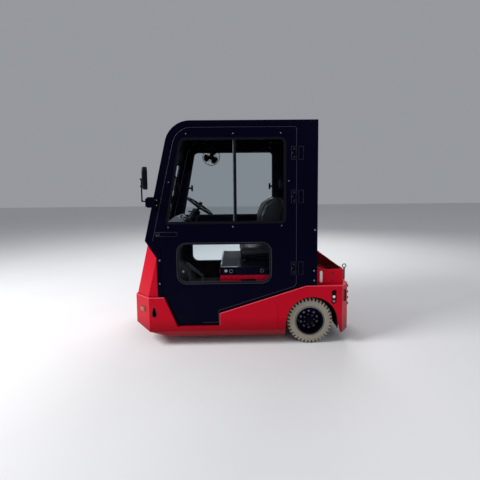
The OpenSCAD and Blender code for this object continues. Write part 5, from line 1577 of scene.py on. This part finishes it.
class TUG_OT_running_gear(bpy.types.Operator):
    """Bolts of the axle, motor and coupler, the motor's fittings, nuts of the fork and the pin's sleeve"""
    bl_idname = "tug.running_gear"
    bl_label = "Running gear"

    def execute(self, context):
        axle = middle("rear_tyre_left")
        steel = []
        flange = bolt((axle.x, 0.009, axle.z + 0.1045), LEFT, 0.0048, 0.006)
        steel.append(around(flange, 12, "Y", (axle.x, 0, axle.z), 0.15))
        motor = Vector((low("drive_axle").x, 0, axle.z + 0.025))
        steel.append(around(bolt(motor + UP * 0.072, (-1, 0, 0), 0.006, 0.007), 8, "X", motor))
        coupler = -0.941
        steel += [bolt((coupler, y, z), (-1, 0, 0), 0.009, 0.009) for z in (0.176, 0.2515, 0.3375, 0.413)
                  for y in (-0.064, 0.064)]
        finish(joined(steel), "gear_bolts", "Dull steel", "chassis")
        fan_cap = lathe([(0, -0.004), (0.040, -0.004), (0.052, 0.0), (0.052, 0.003)], motor, "X", 40)
        box = block(motor + Vector((0.155, -0.045, 0.080)), motor + Vector((0.215, 0.045, 0.108)), 0.005)
        gland = motor + Vector((0.185, 0, 0.104))
        gland = rod(gland, gland + UP * 0.016, 0.009, 20, edge=0.002)
        glands = at_places(gland, [LEFT * y for y in (-0.025, 0.0, 0.025)])
        finish(joined([fan_cap, box, glands]), "motor_fittings", "Dark chassis paint", "chassis")
        wheel, face = middle("front_tyre"), high("steer_fork").y
        head = low("front_tyre").z + 0.365
        nuts = [bolt((wheel.x, face, wheel.z), LEFT, 0.017, 0.015)]
        nuts += [bolt((wheel.x + x, face, head), LEFT, 0.007, 0.007) for x in (-0.028, 0.028)]
        finish(both(joined(nuts)), "fork_nuts", "Dull steel", "steer_unit")
        pin = middle("tow_pin")
        ring = high("tow_pin").z - 0.0235
        sleeve = rod((pin.x, 0, ring - 0.150), (pin.x, 0, ring - 0.022), 0.0080, 24, edge=0.0015)
        finish(sleeve, "pin_sleeve", "Black rubber", "hitch_pin")
        return {"FINISHED"}


class TUG_OT_wiper(bpy.types.Operator):
    """Spring arm, pivot cap and rubber of the windscreen wiper"""
    bl_idname = "tug.wiper"
    bl_label = "Wiper"

    def execute(self, context):
        face = Vector((math.cos(LEAN), 0, math.sin(LEAN)))
        up = Vector((-math.sin(LEAN), 0, math.cos(LEAN)))
        foot = Vector((screen_x(1.030), -0.250, 1.030))

        def blade(z, out):
            return Vector((screen_x(z), -0.280, z)) + face * out

        cap = rod(foot + face * 0.020, foot + face * 0.034, 0.015, 28, 0.011, edge=0.002)
        turn = Matrix((face, LEFT, up)).transposed().to_4x4()
        arm = block((-0.009, -0.008, 0.010), (0.009, 0.008, 0.150), 0.003)
        arm = placed(arm, Matrix.Translation(foot + face * 0.024) @ turn)
        claws = []
        for z in (1.30, 1.385, 1.470, 1.555):
            claw = block((-0.005, -0.009, -0.008), (0.006, 0.009, 0.008), 0.0015)
            claws.append(placed(claw, Matrix.Translation(blade(z, 0.0155)) @ turn))
        finish(joined([cap, arm] + claws), "wiper_arm", "Black moulding", "chassis")
        a, b = blade(1.185, 0.004), blade(1.635, 0.004)
        half = LEFT * 0.002
        rubber = plate([a - half, a + half, b + half, b - half], -face * 0.009)
        finish(rubber, "wiper_rubber", "Black rubber", "chassis")
        return {"FINISHED"}


# Finishes and stage

# The photograph's side in pixels, and how far its middle lies below the lens's axis in them
PHOTO_PIXELS = 480
PHOTO_SHIFT = 26


class TUG_OT_finishes(bpy.types.Operator):
    """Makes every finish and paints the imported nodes"""
    bl_idname = "tug.finishes"
    bl_label = "Finishes"

    def execute(self, context):
        GROUPS.update(dust=dust_group(), scuff=scuff_group(), grain=grain_group())
        colours = context.scene.tug_colours
        chosen = {"Red body paint": colours.body, "Black cab paint": colours.cab}
        for name, row in COATS.items():
            coat_material(name, row, chosen.get(name))
        trim_material(colours.seal)
        clear_material("Window glass", (0.90, 0.93, 0.94), 0.0, 1.10)
        clear_material("Lamp glass", (0.93, 0.95, 0.96), 0.02, 1.45)
        lens_material("Headlamp lens", (0.62, 0.66, 0.70), (0.80, 0.84, 0.86), 0.10)
        lens_material("Amber lens", (0.34, 0.075, 0.010), (0.18, 0.030, 0.005), 0.25)
        lens_material("Red lens", (0.20, 0.006, 0.006), (0.10, 0.003, 0.003), 0.16)
        tyre_material(colours.tyre)
        vinyl_material(colours.seat)
        mirror_material()
        for finish_name, nodes in NODE_FINISH.items():
            for node in nodes.split():
                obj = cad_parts[node]
                obj.data.materials.clear()
                obj.data.materials.append(MADE[finish_name])
        return {"FINISHED"}


class TUG_OT_stage(bpy.types.Operator):
    """Pale floor, soft studio lights and the photograph's camera"""
    bl_idname = "tug.stage"
    bl_label = "Stage"

    def execute(self, context):
        colours = context.scene.tug_colours
        deselect()
        bpy.ops.mesh.primitive_plane_add(size=60, location=ORIGIN)
        floor = bpy.context.object
        floor.name = "studio_floor"
        tree, shader, place = new_material("Studio floor")
        tone = tuple(colours.floor)
        pale = tuple(min(1.0, c * 1.06) for c in tone)
        mottled = blend_colour(tree, cloud(tree, place, 1.2, 3.0), (*tone, 1), (*pale, 1))
        tree.links.new(mottled, shader.inputs["Base Color"])
        shader.inputs["Roughness"].default_value = 0.75
        floor.data.materials.append(MADE["Studio floor"])
        world = bpy.data.worlds.new("Studio")
        context.scene.world = world
        world.use_nodes = True
        sky = world.node_tree.nodes["Background"].inputs
        sky["Color"].default_value = (0.90, 0.93, 1.0, 1)
        sky["Strength"].default_value = 0.34
        for name, place, aim, size, power in (
                ("key", (5.6, 2.0, 5.2), (0.2, 0, 0.8), 2.6, 520),
                ("fill", (-3.5, 5.5, 4.5), (0, 0, 0.8), 4.0, 60),
                ("back", (-1.5, -5.0, 5.0), (0, 0, 1.0), 4.0, 200)):
            light = bpy.data.lights.new(name, "AREA")
            light.size = size
            light.energy = power
            lamp = bpy.data.objects.new(name, light)
            lamp.location = place
            lamp.rotation_euler = (Vector(aim) - Vector(place)).to_track_quat("-Z", "Y").to_euler()
            context.collection.objects.link(lamp)
        lens = bpy.data.cameras.new("Photo camera")
        lens.sensor_width = 36
        lens.lens = 22.575
        lens.shift_y = -PHOTO_SHIFT / PHOTO_PIXELS
        camera = bpy.data.objects.new("Photo camera", lens)
        context.collection.objects.link(camera)
        right = Vector((-0.99986, 0.01325, -0.01045))
        up = Vector((-0.01136, -0.07124, 0.99739))
        turn = Matrix((right, up, right.cross(up))).transposed().to_4x4()
        camera.matrix_world = Matrix.Translation((0.125, 3.219, 1.417)) @ turn
        context.scene.camera = camera
        context.scene.view_settings.view_transform = "Standard"
        return {"FINISHED"}


GROUPS_OF_PIECES = (TUG_PG_colours, TUG_PG_sizes)
STEPS = (TUG_OT_finishes, TUG_OT_tyres, TUG_OT_rims, TUG_OT_seat, TUG_OT_window_seals,
         TUG_OT_window_fittings, TUG_OT_screens, TUG_OT_mirrors, TUG_OT_fan, TUG_OT_hand_wheel,
         TUG_OT_door_fittings, TUG_OT_edges, TUG_OT_body_bolts, TUG_OT_lamps, TUG_OT_inching, TUG_OT_dash,
         TUG_OT_column, TUG_OT_foot_room, TUG_OT_hood, TUG_OT_battery, TUG_OT_tray, TUG_OT_running_gear,
         TUG_OT_wiper, TUG_OT_stage)


class TUG_PT_panel(bpy.types.Panel):
    """Colours, sizes and pieces of the tug"""
    bl_idname = "TUG_PT_panel"
    bl_label = "Baggage tug"
    bl_space_type = "VIEW_3D"
    bl_region_type = "UI"
    bl_category = "Tug"

    def draw(self, context):
        for title, group in (("Colours", context.scene.tug_colours), ("Sizes", context.scene.tug_sizes)):
            box = self.layout.box()
            box.label(text=title)
            for key in group.__annotations__:
                box.prop(group, key)
        column = self.layout.column(align=True)
        for step in STEPS:
            column.operator(step.bl_idname)


def register():
    for cls in (*GROUPS_OF_PIECES, *STEPS, TUG_PT_panel):
        bpy.utils.register_class(cls)
    bpy.types.Scene.tug_colours = bpy.props.PointerProperty(type=TUG_PG_colours)
    bpy.types.Scene.tug_sizes = bpy.props.PointerProperty(type=TUG_PG_sizes)


def unregister():
    del bpy.types.Scene.tug_sizes
    del bpy.types.Scene.tug_colours
    for cls in reversed((*GROUPS_OF_PIECES, *STEPS, TUG_PT_panel)):
        bpy.utils.unregister_class(cls)


def main():
    register()
    for step in STEPS:
        group, name = step.bl_idname.split(".")
        getattr(getattr(bpy.ops, group), name)()
    deselect()


if __name__ == "__main__":
    main()
